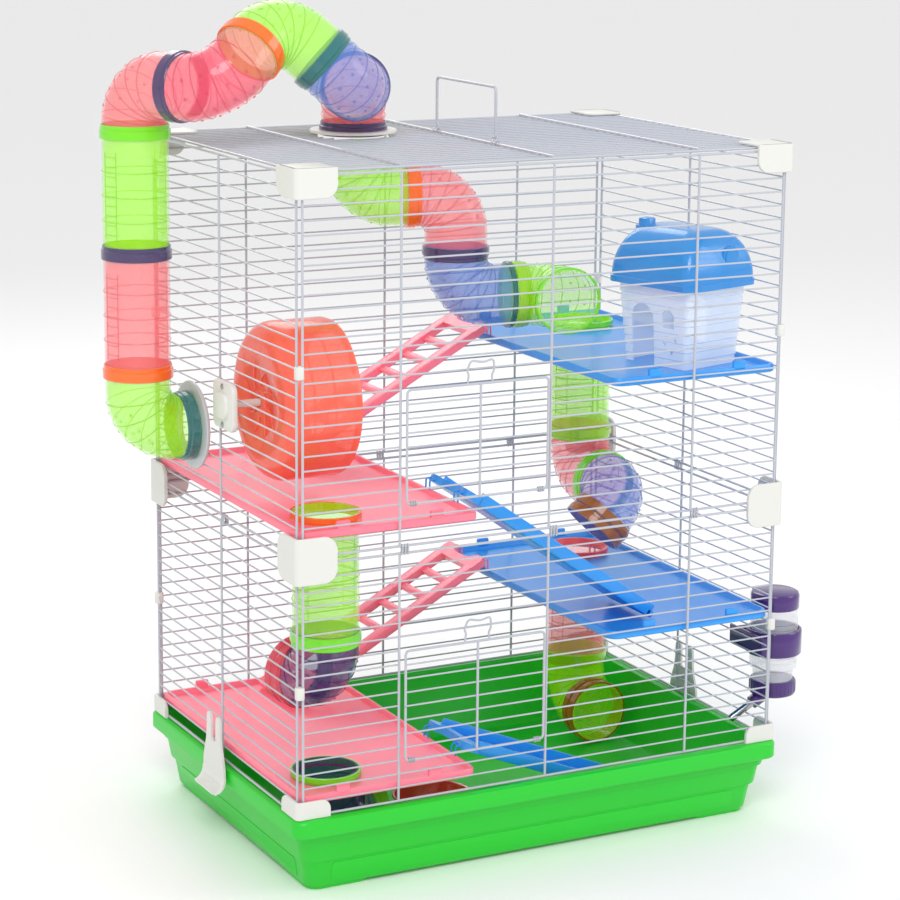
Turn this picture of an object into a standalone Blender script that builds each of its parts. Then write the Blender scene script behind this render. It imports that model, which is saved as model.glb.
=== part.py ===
"""Five-level wire hamster cage on a plastic tray, with platforms, ladders, wheel, house, bottle and tubes.

Metres, +Z up. The origin is the middle of the tray's underside, -Y is the front with the doors, +X is right.
"""

from math import atan2, cos, pi, radians, sin, sqrt

import bmesh
import bpy
from mathutils import Matrix, Vector

# Driving dimensions of the wire cage
CAGE_HALF_X = 0.225
CAGE_HALF_Y = 0.1535
BASE_Z = 0.0690
SEAM_LOW_Z = 0.2770
SEAM_HIGH_Z = 0.2830
TOP_Z = 0.5845
ROOF_Z = 0.5875
ROW_WIRE = 0.0015
POST_WIRE = 0.0022
LOWER_ROWS = 18
UPPER_ROWS = 26
ROOF_ROWS = 26
POST_X = 0.1366
CORNER_GAP = 0.0035
GAP = 0.0003

# Tray
RIM_HALF = (0.2310, 0.1620)
RIM_TOP = 0.0670
RIM_LOW = 0.0520
TRAY_BOTTOM_HALF = (0.2130, 0.1440)
TRAY_TOP_HALF = (0.2250, 0.1560)
CAVITY_BOTTOM_HALF = (0.2090, 0.1400)
CAVITY_TOP_HALF = (0.2190, 0.1480)
TRAY_FLOOR = 0.0045

# Tubes
TUBE_RADIUS = 0.0275
COLLAR_SCALE = 1.075
COLLAR_LENGTH = 0.0100
PORT_COLLAR = 0.0055
PORT_SEAT = PORT_COLLAR + 0.0009
TUBE_WALL = 0.0018
LEG = 0.0450
LOW_LEG = 0.0440
EXIT_LEG = 0.0510
TUBE_PITCH = 0.1000
ELBOW_STEPS = 4
BEND_CLEAR = 0.0062
PORT_RADIUS = 0.0312

# Platforms: floor top height, then the inner edge that a ladder hooks on
PLATFORM_FLOOR = 0.0025
PLATFORM_LIP = 0.0065
PLATFORM_OUT_X = 0.2232
PLATFORM_IN_X = 0.0630
PLATFORM_HALF_Y = 0.1515
UPPER_RIGHT_Z = 0.3975
MIDDLE_LEFT_Z = 0.2985
MIDDLE_RIGHT_Z = 0.1800
LOWER_LEFT_Z = 0.0805
RIGHT_PORT = (0.1770, 0.1020)
LEFT_PORT = (-0.1770, -0.1000)

# Ladders
LADDER_LENGTH = 0.2250
LADDER_WIDTH = 0.0700
LADDER_EDGE = 0.0070
RAMP_EDGE = 0.0110
LADDER_FLOOR = 0.0020
LADDER_LIFT = 0.0130
BACK_LADDER_Y = 0.1010
FRONT_LADDER_Y = -0.0880

# Wheel, house and bottle
WHEEL_RADIUS = 0.0665
WHEEL_Y = -0.0230
WHEEL_X = (-0.2020, -0.1360)
AXLE_RADIUS = 0.0032
HOUSE_CENTRE = (0.1670, -0.0850)
HOUSE_TURN = radians(15)
HOUSE_BASE_HALF = (0.0330, 0.0360)
HOUSE_TOP_HALF = (0.0370, 0.0420)
HOUSE_WALL_HEIGHT = 0.0680
HOUSE_ROOF_HALF = (0.0440, 0.0490)
HOUSE_ROOF_HEIGHT = 0.0500
BOTTLE_X = 0.2515
BOTTLE_Y = -0.1180
BOTTLE_RADIUS = 0.0215

LOWER_PITCH = (SEAM_LOW_Z - BASE_Z) / LOWER_ROWS
UPPER_PITCH = (TOP_Z - SEAM_HIGH_Z) / UPPER_ROWS
WHEEL_Z = SEAM_HIGH_Z + 8.5 * UPPER_PITCH
UP = Vector((0, 0, 1))


def clear_scene():
    for obj in list(bpy.data.objects):
        bpy.data.objects.remove(obj, do_unlink=True)


def new_collection(name):
    collection = bpy.data.collections.new(name)
    bpy.context.scene.collection.children.link(collection)
    return collection


clear_scene()
CAGE = new_collection("hamster_cage")
CUTTERS = new_collection("cutters")


def plastic(name, colour, roughness=0.35, alpha=1.0, metallic=0.0):
    """A Principled material; alpha below 1 is a see-through moulding."""
    found = bpy.data.materials.get(name)
    if found:
        return found
    made = bpy.data.materials.new(name)
    made.use_nodes = True
    made.diffuse_color = (*colour, alpha)
    shader = made.node_tree.nodes["Principled BSDF"]
    shader.inputs["Base Color"].default_value = (*colour, 1.0)
    shader.inputs["Roughness"].default_value = roughness
    shader.inputs["Metallic"].default_value = metallic
    shader.inputs["Alpha"].default_value = alpha
    return made


WIRE = plastic("white_coated_wire", (0.72, 0.73, 0.75), 0.3)
CLIP = plastic("off_white_plastic", (0.72, 0.71, 0.67), 0.45)
TRAY_GREEN = plastic("tray_green", (0.02, 0.60, 0.04), 0.35)
PINK = plastic("platform_pink", (1.0, 0.22, 0.33), 0.35)
BLUE = plastic("platform_blue", (0.03, 0.30, 0.85), 0.35)
CORAL = plastic("wheel_coral", (1.0, 0.14, 0.11), 0.3, 0.85)
TUBE_GREEN = plastic("tube_green", (0.30, 1.0, 0.03), 0.15, 0.5)
TUBE_PINK = plastic("tube_pink", (1.0, 0.20, 0.24), 0.15, 0.5)
TUBE_BLUE = plastic("tube_blue", (0.10, 0.28, 0.75), 0.15, 0.5)
TUBE_PURPLE = plastic("tube_purple", (0.06, 0.03, 0.20), 0.15, 0.6)
HOUSE_WHITE = plastic("house_milky", (0.80, 0.85, 0.92), 0.3, 0.7)
CLEAR = plastic("bottle_clear", (0.85, 0.87, 0.90), 0.1, 0.3)
PURPLE = plastic("bottle_purple", (0.08, 0.01, 0.20), 0.3)
BOWL_RED = plastic("bowl_red", (0.80, 0.03, 0.02), 0.25)


def add_object(name, mesh, material, collection=None):
    obj = bpy.data.objects.new(name, mesh)
    (collection or CAGE).objects.link(obj)
    if material:
        mesh.materials.clear()
        mesh.materials.append(material)
    return obj


def mesh_from(bm, name):
    mesh = bpy.data.meshes.new(name)
    bm.to_mesh(mesh)
    bm.free()
    return mesh


def add_box(bm, low, high, matrix=None):
    """Adds a box between two corners and returns its vertices."""
    low = Vector(low)
    high = Vector(high)
    place = Matrix.Translation((low + high) / 2) @ Matrix.Diagonal((*(high - low), 1))
    return bmesh.ops.create_cube(bm, size=1, matrix=(matrix or Matrix()) @ place)["verts"]


def boxes(name, corners, material, collection=None):
    bm = bmesh.new()
    for low, high in corners:
        add_box(bm, low, high)
    return add_object(name, mesh_from(bm, name), material, collection)


def frustum(name, low_half, high_half, low_z, high_z, material, collection=None):
    """A box whose top is a different size from its bottom."""
    bm = bmesh.new()
    for vert in add_box(bm, (-1, -1, 0), (1, 1, 1)):
        half = high_half if vert.co.z > 0.5 else low_half
        vert.co = (vert.co.x * half[0], vert.co.y * half[1], high_z if vert.co.z > 0.5 else low_z)
    return add_object(name, mesh_from(bm, name), material, collection)


def cylinder(name, radius, start, end, material, collection=None, sides=16):
    start = Vector(start)
    end = Vector(end)
    axis = end - start
    turn = axis.to_track_quat("Z", "Y").to_matrix().to_4x4()
    bm = bmesh.new()
    bmesh.ops.create_cone(
        bm, cap_ends=True, segments=sides, radius1=radius, radius2=radius, depth=axis.length,
        matrix=Matrix.Translation((start + end) / 2) @ turn,
    )
    return add_object(name, mesh_from(bm, name), material, collection)


def boolean(target, helper, operation):
    """Joins or cuts with a helper, which joins the cutters' collection and follows its target from then on."""
    if helper.name not in CUTTERS.objects:
        for collection in list(helper.users_collection):
            collection.objects.unlink(helper)
        CUTTERS.objects.link(helper)
    helper.parent = target
    helper.matrix_parent_inverse = target.matrix_basis.inverted()
    helper.hide_render = True
    helper.display_type = "WIRE"
    modifier = target.modifiers.new(operation.lower(), "BOOLEAN")
    modifier.operation = operation
    modifier.solver = "EXACT"
    modifier.object = helper
    return target


def cut(target, helper):
    return boolean(target, helper, "DIFFERENCE")


def join(target, helper):
    return boolean(target, helper, "UNION")


def shell_of_screw(name, profile, material, thickness, steps=20):
    """Turns an open (radius, height) profile, read top to bottom, round Z and gives it a wall inwards."""
    bm = bmesh.new()
    points = [bm.verts.new((radius, 0, height)) for radius, height in profile]
    for first, second in zip(points, points[1:]):
        bm.edges.new((first, second))
    obj = add_object(name, mesh_from(bm, name), material)
    screw = obj.modifiers.new("turn", "SCREW")
    screw.steps = steps
    screw.render_steps = steps
    screw.use_merge_vertices = True
    screw.merge_threshold = 0.00001
    solid = obj.modifiers.new("wall", "SOLIDIFY")
    solid.thickness = thickness
    solid.offset = -1
    solid.use_even_offset = True
    return obj


def curve_mesh(name, points, radius, material, scales=None, resolution=3, caps=True):
    """A tube swept along points, as a mesh. Without caps it is an open surface for Solidify."""
    data = bpy.data.curves.new(name, "CURVE")
    data.dimensions = "3D"
    data.bevel_depth = radius
    data.bevel_resolution = resolution
    data.use_fill_caps = caps
    spline = data.splines.new("POLY")
    spline.points.add(len(points) - 1)
    for index, point in enumerate(points):
        spline.points[index].co = (*point, 1)
        spline.points[index].radius = scales[index] if scales else 1
    guide = bpy.data.objects.new(name + "_path", data)
    CUTTERS.objects.link(guide)
    mesh = bpy.data.meshes.new_from_object(guide.evaluated_get(bpy.context.evaluated_depsgraph_get()))
    bpy.data.objects.remove(guide)
    bm = bmesh.new()
    bm.from_mesh(mesh)
    bmesh.ops.remove_doubles(bm, verts=bm.verts, dist=0.00001)
    bmesh.ops.recalc_face_normals(bm, faces=bm.faces)
    bm.to_mesh(mesh)
    bm.free()
    return add_object(name, mesh, material)


# Wire panels. Each is made upright in its own frame: rows along X, posts along Z, outside towards -Y.

def wire_rows(width, low, high, count, opening=None):
    """The thin rows between the two frame bars, split where there is a door opening."""
    corners = []
    half = ROW_WIRE / 2
    for index in range(1, count):
        height = low + (high - low) * index / count
        spans = [(-width / 2, width / 2)]
        if opening and opening[2] < height < opening[3]:
            spans = [(-width / 2, opening[0]), (opening[1], width / 2)]
        for start, end in spans:
            corners.append(((start, -half, height - half), (end, half, height + half)))
    return corners


def wire_panel(name, width, low, high, count, posts=(), inline_posts=(), opening=None):
    """A welded panel: a frame of stout wire, rows let into its sides, and posts in front of the rows."""
    half = POST_WIRE / 2
    reach = ROW_WIRE / 2 + half + 0.0001
    sides = boxes(name + "_sides", [
        ((at - half, -half, low - half), (at + half, half, high + half)) for at in (-width / 2, width / 2)
    ], WIRE, CUTTERS)
    panel = boxes(name, [
        ((-width / 2, -half * 0.9, at - half * 0.9), (width / 2, half * 0.9, at + half * 0.9))
        for at in (low, high)
    ] + wire_rows(width, low, high, count, opening), WIRE)
    join(panel, sides)
    front = [((at - half, -reach - half, low), (at + half, -reach + half, high)) for at in posts]
    inline = [((at - half, -half * 0.96, low), (at + half, half * 0.96, high)) for at in inline_posts]
    if front or inline:
        join(panel, boxes(name + "_posts", front + inline, WIRE, CUTTERS))
    return panel


def place_panel(panel, angle, location):
    panel.rotation_euler = (0, 0, angle)
    panel.location = location


def cage_panels():
    long_width = 2 * (CAGE_HALF_X - CORNER_GAP)
    short_width = 2 * (CAGE_HALF_Y - CORNER_GAP)
    tiers = (("lower", BASE_Z, SEAM_LOW_Z, LOWER_ROWS), ("upper", SEAM_HIGH_Z, TOP_Z, UPPER_ROWS))
    for tier, low, high, count in tiers:
        door = DOORS[tier]
        front = wire_panel(
            "front_panel_" + tier, long_width, low, high, count, (POST_X,), (-POST_X, 0),
            (-POST_X, 0, door["low"] - ROW_WIRE, door["high"] + ROW_WIRE),
        )
        place_panel(front, 0, (0, -CAGE_HALF_Y, 0))
        back = wire_panel("back_panel_" + tier, long_width, low, high, count, (-POST_X, 0, POST_X))
        place_panel(back, pi, (0, CAGE_HALF_Y, 0))
        left = wire_panel("left_panel_" + tier, short_width, low, high, count, (0,))
        place_panel(left, -pi / 2, (-CAGE_HALF_X, 0, 0))
        right = wire_panel("right_panel_" + tier, short_width, low, high, count, (0,))
        place_panel(right, pi / 2, (CAGE_HALF_X, 0, 0))
        if tier == "upper":
            port = cylinder(
                "side_port_cutter", PORT_RADIUS, (-CAGE_HALF_X - 0.02, SIDE_PORT[1], SIDE_PORT[2]),
                (-CAGE_HALF_X + 0.02, SIDE_PORT[1], SIDE_PORT[2]), None, CUTTERS,
            )
            cut(left, port)


def roof_panel():
    half_y = CAGE_HALF_Y - CORNER_GAP / 2
    roof = wire_panel(
        "roof_panel", 2 * (CAGE_HALF_X - CORNER_GAP / 2), -half_y, half_y, ROOF_ROWS, (-POST_X, 0, POST_X)
    )
    roof.rotation_euler = (-pi / 2, 0, 0)
    roof.location = (0, 0, ROOF_Z)
    port = cylinder(
        "roof_port_cutter", PORT_RADIUS, (ROOF_PORT[0], ROOF_PORT[1], ROOF_Z - 0.02),
        (ROOF_PORT[0], ROOF_PORT[1], ROOF_Z + 0.02), None, CUTTERS,
    )
    cut(roof, port)


# Doors: drop-down wire doors in front of the openings, hinged on their lower bar.

DOOR_OUT = 0.0036
DOOR_EDGE = 0.0042
DOOR_HOOK_HALF = 0.0127
DOOR_HOOK_X = -0.0670
DOOR_HOOK_RISE = 0.0200


def door_rows(low, pitch, first, last):
    return {"low": low + pitch * first, "high": low + pitch * last, "count": last - first}


DOORS = {
    "lower": door_rows(BASE_Z, LOWER_PITCH, 3, 11),
    "upper": door_rows(SEAM_HIGH_Z, UPPER_PITCH, 3, 11),
}


def wire_door(tier):
    door = DOORS[tier]
    width = POST_X - 2 * DOOR_EDGE
    height = door["high"] - door["low"]
    panel = wire_panel("door_" + tier, width, 0, height, door["count"], (DOOR_HOOK_X + POST_X / 2 - 0.012,))
    half = POST_WIRE / 2 * 0.8
    middle = DOOR_HOOK_X + POST_X / 2
    legs = [((middle + side * DOOR_HOOK_HALF - half, -half, height),
             (middle + side * DOOR_HOOK_HALF + half, half, height + DOOR_HOOK_RISE)) for side in (-1, 1)]
    hook = boxes("door_hook_" + tier, legs, WIRE, CUTTERS)
    bar = boxes("door_hook_bar_" + tier, [(
        (middle - DOOR_HOOK_HALF - half * 0.9, -half * 0.9, height + DOOR_HOOK_RISE - half),
        (middle + DOOR_HOOK_HALF + half * 0.9, half * 0.9, height + DOOR_HOOK_RISE + half * 0.9),
    )], WIRE, CUTTERS)
    join(panel, hook)
    join(panel, bar)
    panel.location = (-POST_X / 2, -CAGE_HALF_Y - DOOR_OUT, door["low"])


HANDLE_HALF = 0.0535
HANDLE_HEIGHT = 0.0460
HANDLE_PIVOT_Z = ROOF_Z + 0.0030


def carry_handle():
    """A wire bail over the roof's middle cross wire. Its origin is on the pivot."""
    foot = 0.0017
    corner = 0.004
    points = [(0, -HANDLE_HALF, foot), (0, -HANDLE_HALF, HANDLE_HEIGHT - corner),
              (0, corner - HANDLE_HALF, HANDLE_HEIGHT), (0, HANDLE_HALF - corner, HANDLE_HEIGHT),
              (0, HANDLE_HALF, HANDLE_HEIGHT - corner), (0, HANDLE_HALF, foot)]
    bail = curve_mesh("carry_handle", points, 0.00125, WIRE, resolution=2)
    bail.location = (0, 0, HANDLE_PIVOT_Z)


# Corner clips: L-shaped plastic pieces outside the corner posts.

CLIP_WING = 0.0330
CLIP_THICK = 0.0030
MIDDLE_CLIP_HALF = 0.0190


def prism(name, outline, low, high, material):
    """A flat outline of (x, y) points carried up from one height to another."""
    bm = bmesh.new()
    face = bm.faces.new([bm.verts.new((x, y, low)) for x, y in outline])
    raised = bmesh.ops.extrude_face_region(bm, geom=[face])
    for item in raised["geom"]:
        if isinstance(item, bmesh.types.BMVert):
            item.co.z = high
    bmesh.ops.recalc_face_normals(bm, faces=bm.faces)
    return add_object(name, mesh_from(bm, name), material)


def corner_clip(name, side_x, side_y, low, high, cap_top=None):
    """Two walls round a corner post; a top clip also has a lid over the roof's corner."""
    inner_x = CAGE_HALF_X + POST_WIRE / 2 + GAP
    inner_y = CAGE_HALF_Y + POST_WIRE / 2 + GAP
    outer_x = inner_x + CLIP_THICK
    outer_y = inner_y + CLIP_THICK
    outline = [(inner_x - CLIP_WING, outer_y), (inner_x - CLIP_WING, inner_y), (inner_x, inner_y),
               (inner_x, inner_y - CLIP_WING), (outer_x, inner_y - CLIP_WING), (outer_x, outer_y)]
    wall_top = cap_top - 0.0004 if cap_top else high
    clip = prism(name, [(side_x * x, side_y * y) for x, y in outline], low, wall_top, CLIP)
    if cap_top:
        inset = 0.0003
        near = (side_x * (inner_x - CLIP_WING + inset), side_y * (inner_y - CLIP_WING + inset))
        far = (side_x * (outer_x - inset), side_y * (outer_y - inset))
        join(clip, boxes(name + "_lid", [(
            (min(near[0], far[0]), min(near[1], far[1]), high),
            (max(near[0], far[0]), max(near[1], far[1]), cap_top),
        )], CLIP, CUTTERS))


def corner_clips():
    corners = (("front_left", -1, -1), ("front_right", 1, -1), ("back_left", -1, 1), ("back_right", 1, 1))
    middle = (SEAM_LOW_Z + SEAM_HIGH_Z) / 2
    top = ROOF_Z + POST_WIRE / 2 + GAP
    for corner, side_x, side_y in corners:
        corner_clip("clip_middle_" + corner, side_x, side_y, middle - MIDDLE_CLIP_HALF, middle + MIDDLE_CLIP_HALF)
        corner_clip("clip_top_" + corner, side_x, side_y, TOP_Z - 0.018, top, top + 0.0016)


# Tray and its two latches

def tray():
    body = frustum("tray", TRAY_BOTTOM_HALF, TRAY_TOP_HALF, 0, RIM_LOW + 0.002, TRAY_GREEN)
    rim = boxes("tray_rim", [(
        (-RIM_HALF[0], -RIM_HALF[1], RIM_LOW), (RIM_HALF[0], RIM_HALF[1], RIM_TOP)
    )], TRAY_GREEN, CUTTERS)
    join(body, rim)
    cut(body, frustum(
        "tray_cavity", CAVITY_BOTTOM_HALF, CAVITY_TOP_HALF, TRAY_FLOOR, RIM_TOP + 0.00001, None, CUTTERS
    ))
    foot = 0.060
    notch = 0.003
    deep = 0.012
    long_x = TRAY_BOTTOM_HALF[0] - foot
    long_y = TRAY_BOTTOM_HALF[1] - foot
    edges = []
    for side in (-1, 1):
        outer = side * (TRAY_BOTTOM_HALF[1] + 0.004)
        inner = side * (TRAY_BOTTOM_HALF[1] - deep)
        edges.append(((-long_x, min(outer, inner), -0.002), (long_x, max(outer, inner), notch)))
        outer = side * (TRAY_BOTTOM_HALF[0] + 0.004)
        inner = side * (TRAY_BOTTOM_HALF[0] - deep)
        edges.append(((min(outer, inner), -long_y, -0.002), (max(outer, inner), long_y, notch)))
    cut(body, boxes("tray_notches", edges, None, CUTTERS))


LATCH_HALF = 0.0235
LATCH_AXIS_Z = 0.1100
LATCH_X = 0.2345


def latch(name, side):
    """A flap that hangs on a row of the end panel and presses on the tray's rim. Origin on its hinge."""
    flap = boxes(name, [((-0.0010, -LATCH_HALF, -0.0640), (0.0010, LATCH_HALF, 0.0010))], CLIP)
    toe = boxes(name + "_toe", [((0.0005, -LATCH_HALF * 0.97, -0.0630), (0.0110, LATCH_HALF * 0.97, -0.0570))],
                CLIP, CUTTERS)
    slot = boxes(name + "_slot", [((-0.005, -0.0045, -0.0240), (0.005, 0.0045, 0.0200))], None, CUTTERS)
    join(flap, toe)
    cut(flap, slot)
    flap.location = (side * LATCH_X, 0, LATCH_AXIS_Z)
    flap.rotation_euler = (0, 0, 0 if side > 0 else pi)


# Platforms: shallow plastic trays hung on the wires

def platform(name, side, top, material, port=None):
    """side is -1 or 1 for the half of the cage; top is the walking surface. The inner edge has no lip."""
    near = side * PLATFORM_IN_X
    far = side * PLATFORM_OUT_X
    low_x = min(near, far)
    high_x = max(near, far)
    shelf = boxes(name, [(
        (low_x, -PLATFORM_HALF_Y, top - PLATFORM_FLOOR), (high_x, PLATFORM_HALF_Y, top + PLATFORM_LIP - 0.002)
    )], material)
    lip = 0.0035
    open_end = 0.001
    start = low_x - open_end if side > 0 else low_x + lip
    stop = high_x - lip if side > 0 else high_x + open_end
    pocket = boxes(name + "_pocket", [(
        (start, -PLATFORM_HALF_Y + lip, top), (stop, PLATFORM_HALF_Y - lip, top + 0.02),
    )], None, CUTTERS)
    cut(shelf, pocket)
    if port:
        hole = cylinder(name + "_port", TUBE_RADIUS + 0.0006, (*port, top - 0.02), (*port, top + 0.02), None, CUTTERS)
        cut(shelf, hole)


def platforms():
    platform("platform_upper_right", 1, UPPER_RIGHT_Z, BLUE, RIGHT_PORT)
    platform("platform_middle_left", -1, MIDDLE_LEFT_Z, PINK, LEFT_PORT)
    platform("platform_middle_right", 1, MIDDLE_RIGHT_Z, BLUE, RIGHT_PORT)
    platform("platform_lower_left", -1, LOWER_LEFT_Z, PINK, LEFT_PORT)


# Ladders: each hangs by two lugs on a platform's edge. Its origin is on the hinge, length along +X.

HOOK_GAP = 0.0012


def ladder_slope(drop):
    return atan2(drop, sqrt(LADDER_LENGTH ** 2 - drop ** 2))


def ladder(name, hinge, direction, drop, material, rungs):
    """direction is +1 or -1 along X; drop is how far the far end lies below the hinge."""
    half = LADDER_WIDTH / 2
    edge = LADDER_EDGE if rungs else RAMP_EDGE
    strip = boxes(name, [((HOOK_GAP, -half, -LADDER_FLOOR), (LADDER_LENGTH, half, edge - LADDER_FLOOR))], material)
    rail = 0.0105 if rungs else 0.0025
    helpers = [boxes(name + "_channel", [(
        (HOOK_GAP - 0.01, -half + rail, 0), (LADDER_LENGTH - rail, half - rail, 0.02)
    )], None, CUTTERS)]
    if rungs:
        pitch = (LADDER_LENGTH - 0.020) / rungs
        openings = [((0.010 + pitch * index, -half + rail + 0.0003, -0.02),
                     (0.010 + pitch * (index + 1) - 0.006, half - rail - 0.0003, 0.02)) for index in range(rungs)]
        helpers.append(boxes(name + "_openings", openings, None, CUTTERS))
    for helper in helpers:
        cut(strip, helper)
    strip.location = hinge
    strip.rotation_euler = (0, ladder_slope(drop), 0 if direction > 0 else pi)


def ladders():
    edge = PLATFORM_IN_X - 0.0008
    lift = LADDER_LIFT
    clear = 0.0010
    upper_drop = UPPER_RIGHT_Z - MIDDLE_LEFT_Z + lift - LADDER_FLOOR - clear
    ladder("ladder_upper", (edge, BACK_LADDER_Y, UPPER_RIGHT_Z + lift), -1, upper_drop, PINK, 8)
    middle_drop = MIDDLE_LEFT_Z - MIDDLE_RIGHT_Z + lift - LADDER_FLOOR - clear
    ladder("ramp_middle", (-edge, FRONT_LADDER_Y, MIDDLE_LEFT_Z + lift), 1, middle_drop, BLUE, 0)
    lower_drop = MIDDLE_RIGHT_Z - LOWER_LEFT_Z + lift - LADDER_FLOOR - clear
    ladder("ladder_lower", (edge, BACK_LADDER_Y, MIDDLE_RIGHT_Z + lift), -1, lower_drop, PINK, 8)
    tray_drop = LOWER_LEFT_Z - TRAY_FLOOR + lift - LADDER_FLOOR - clear
    ladder("ramp_lower", (-edge, FRONT_LADDER_Y, LOWER_LEFT_Z + lift), 1, tray_drop, BLUE, 0)


# Tubes: round mouldings with a wider collar at the end where the next one plugs in

def heading(degrees):
    """A level unit vector, measured from +Y towards +X."""
    return Vector((sin(radians(degrees)), cos(radians(degrees)), 0))


def tube(name, points, scales, material):
    body = curve_mesh(name, points, TUBE_RADIUS, material, scales, resolution=3, caps=False)
    wall = body.modifiers.new("wall", "SOLIDIFY")
    wall.thickness = TUBE_WALL
    wall.offset = -1
    wall.use_even_offset = True
    return body


def collared(points, scales, start, direction, length=COLLAR_LENGTH):
    """Adds the three stations of a collar that starts at a joint."""
    for along, scale in ((GAP / 2, COLLAR_SCALE), (length, COLLAR_SCALE), (length + 0.0006, 1.0)):
        points.append(start + direction * along)
        scales.append(scale)


def straight_tube(name, start, end, material, collar=COLLAR_LENGTH):
    direction = (end - start).normalized()
    points = []
    scales = []
    collared(points, scales, start, direction, collar)
    points.append(end - direction * GAP / 2)
    scales.append(1.0)
    return tube(name, points, scales, material)


def elbow_tube(name, start, inward, outward, material, leg_in=LEG, leg_out=LEG, end_collar=False,
               start_collar=COLLAR_LENGTH):
    """A right-angled bend that starts at a joint going inward and leaves going outward."""
    corner = start + inward * leg_in
    end = corner + outward * leg_out
    bend = min(leg_in, leg_out) - COLLAR_LENGTH - BEND_CLEAR
    centre = corner - inward * bend + outward * bend
    points = []
    scales = []
    collared(points, scales, start, inward, start_collar)
    for step in range(ELBOW_STEPS + 1):
        angle = pi / 2 * step / ELBOW_STEPS
        points.append(centre - outward * bend * cos(angle) + inward * bend * sin(angle))
        scales.append(1.0)
    if end_collar:
        collar = []
        collar_scales = []
        collared(collar, collar_scales, end, -outward)
        points += reversed(collar)
        scales += reversed(collar_scales)
    else:
        points.append(end - outward * GAP / 2)
        scales.append(1.0)
    tube(name, points, scales, material)
    return end


# The outer run leaves the left side, climbs, and bends over to the roof.
SIDE_PORT = Vector((-0.2330, 0.0540, 0.3500))
RISER = Vector((SIDE_PORT.x - LEG, SIDE_PORT.y, SIDE_PORT.z))
FIRST_HEADING = heading(153)
LAST_HEADING = heading(22.7)
DROP_ANGLE = radians(131.4)
DOWNWARD_HEADING = cos(DROP_ANGLE) * UP + sin(DROP_ANGLE) * LAST_HEADING.cross(UP)
RISING_HEADING = FIRST_HEADING.cross(DOWNWARD_HEADING).normalized()


def outer_run():
    """The joints of the outer run, in order, with the direction of travel at each."""
    port = SIDE_PORT.copy()
    joints = [(port, -Vector((1, 0, 0)))]
    bottom = RISER + UP * LEG
    middle = bottom + UP * TUBE_PITCH
    top = middle + UP * TUBE_PITCH
    joints += [(bottom, UP), (middle, UP), (top, UP)]
    for direction in (FIRST_HEADING, RISING_HEADING, DOWNWARD_HEADING, LAST_HEADING, -UP):
        place, travel = joints[-1]
        joints.append((place + travel * LEG + direction * LEG, direction))
    return joints


OUTER = outer_run()
ROOF_PORT = OUTER[-1][0]


def outer_tubes():
    names = ("port_elbow", "riser_lower", "riser_upper", "outer_elbow_first", "outer_elbow_second",
             "outer_elbow_third", "outer_elbow_fourth", "outer_elbow_roof")
    colours = (TUBE_GREEN, TUBE_PINK, TUBE_GREEN, TUBE_PINK, TUBE_PINK, TUBE_GREEN, TUBE_BLUE, TUBE_PINK)
    for name, colour, (start, travel), (end, leaving) in zip(names, colours, OUTER, OUTER[1:]):
        if abs(travel.dot(leaving)) > 0.99:
            straight_tube(name, start, end, colour)
        else:
            elbow_tube(name, start, travel, leaving, colour)
    join(CAGE.objects[names[-1]], roof_flange())


def ring_plate(name, centre, normal, inner, outer, thick, material):
    """A flat washer-like flange."""
    normal = Vector(normal)
    plate = cylinder(name, outer, centre, centre + normal * thick, material, sides=24)
    return cut(plate, cylinder(name + "_bore", inner, centre - normal * 0.01, centre + normal * (thick + 0.01),
                               None, CUTTERS, 20))


FLANGE_RADIUS = 0.0375
ROOF_FLANGE_Z = ROOF_Z + 0.0034


def side_flange():
    place = Vector((-CAGE_HALF_X - 0.0036, SIDE_PORT.y, SIDE_PORT.z))
    ring_plate("side_port_flange", place, (-1, 0, 0), TUBE_RADIUS - 0.002, FLANGE_RADIUS, 0.0035, CLIP)


def roof_flange():
    """A disc round the last outer tube's foot, which lies on the roof wires. The tube's bore passes through."""
    place = Vector((ROOF_PORT.x, ROOF_PORT.y, ROOF_FLANGE_Z))
    return ring_plate("roof_port_flange", place, (0, 0, 1), TUBE_RADIUS - 0.001, FLANGE_RADIUS, 0.0025, CLIP)


# The inner upper run hangs from the roof port and ends over the upper right platform.
INNER_TOP = Vector((ROOF_PORT.x, ROOF_PORT.y, ROOF_Z - 0.0060))
INNER_FIRST = heading(109)
INNER_SECOND = heading(104)
INNER_EXIT = heading(194)
MIDDLE_RIGHT_TURN = heading(183)
MIDDLE_RIGHT_TILT = radians(45)


def inner_tubes():
    place = elbow_tube("inner_elbow_first", INNER_TOP, -UP, INNER_FIRST, TUBE_GREEN)
    place = elbow_tube("inner_elbow_second", place, INNER_FIRST, -UP, TUBE_PINK)
    place = elbow_tube("inner_elbow_third", place, -UP, INNER_SECOND, TUBE_BLUE)
    elbow_tube("exit_elbow_upper", place, INNER_SECOND, INNER_EXIT, TUBE_GREEN)


def dropped_tube(name, port, floor, material):
    """A straight tube that hangs by its collar in a platform's hole."""
    start = Vector((*port, floor + PORT_SEAT))
    end = Vector((*port, start.z - TUBE_PITCH))
    straight_tube(name, start, end, material, PORT_COLLAR)
    return end


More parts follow.
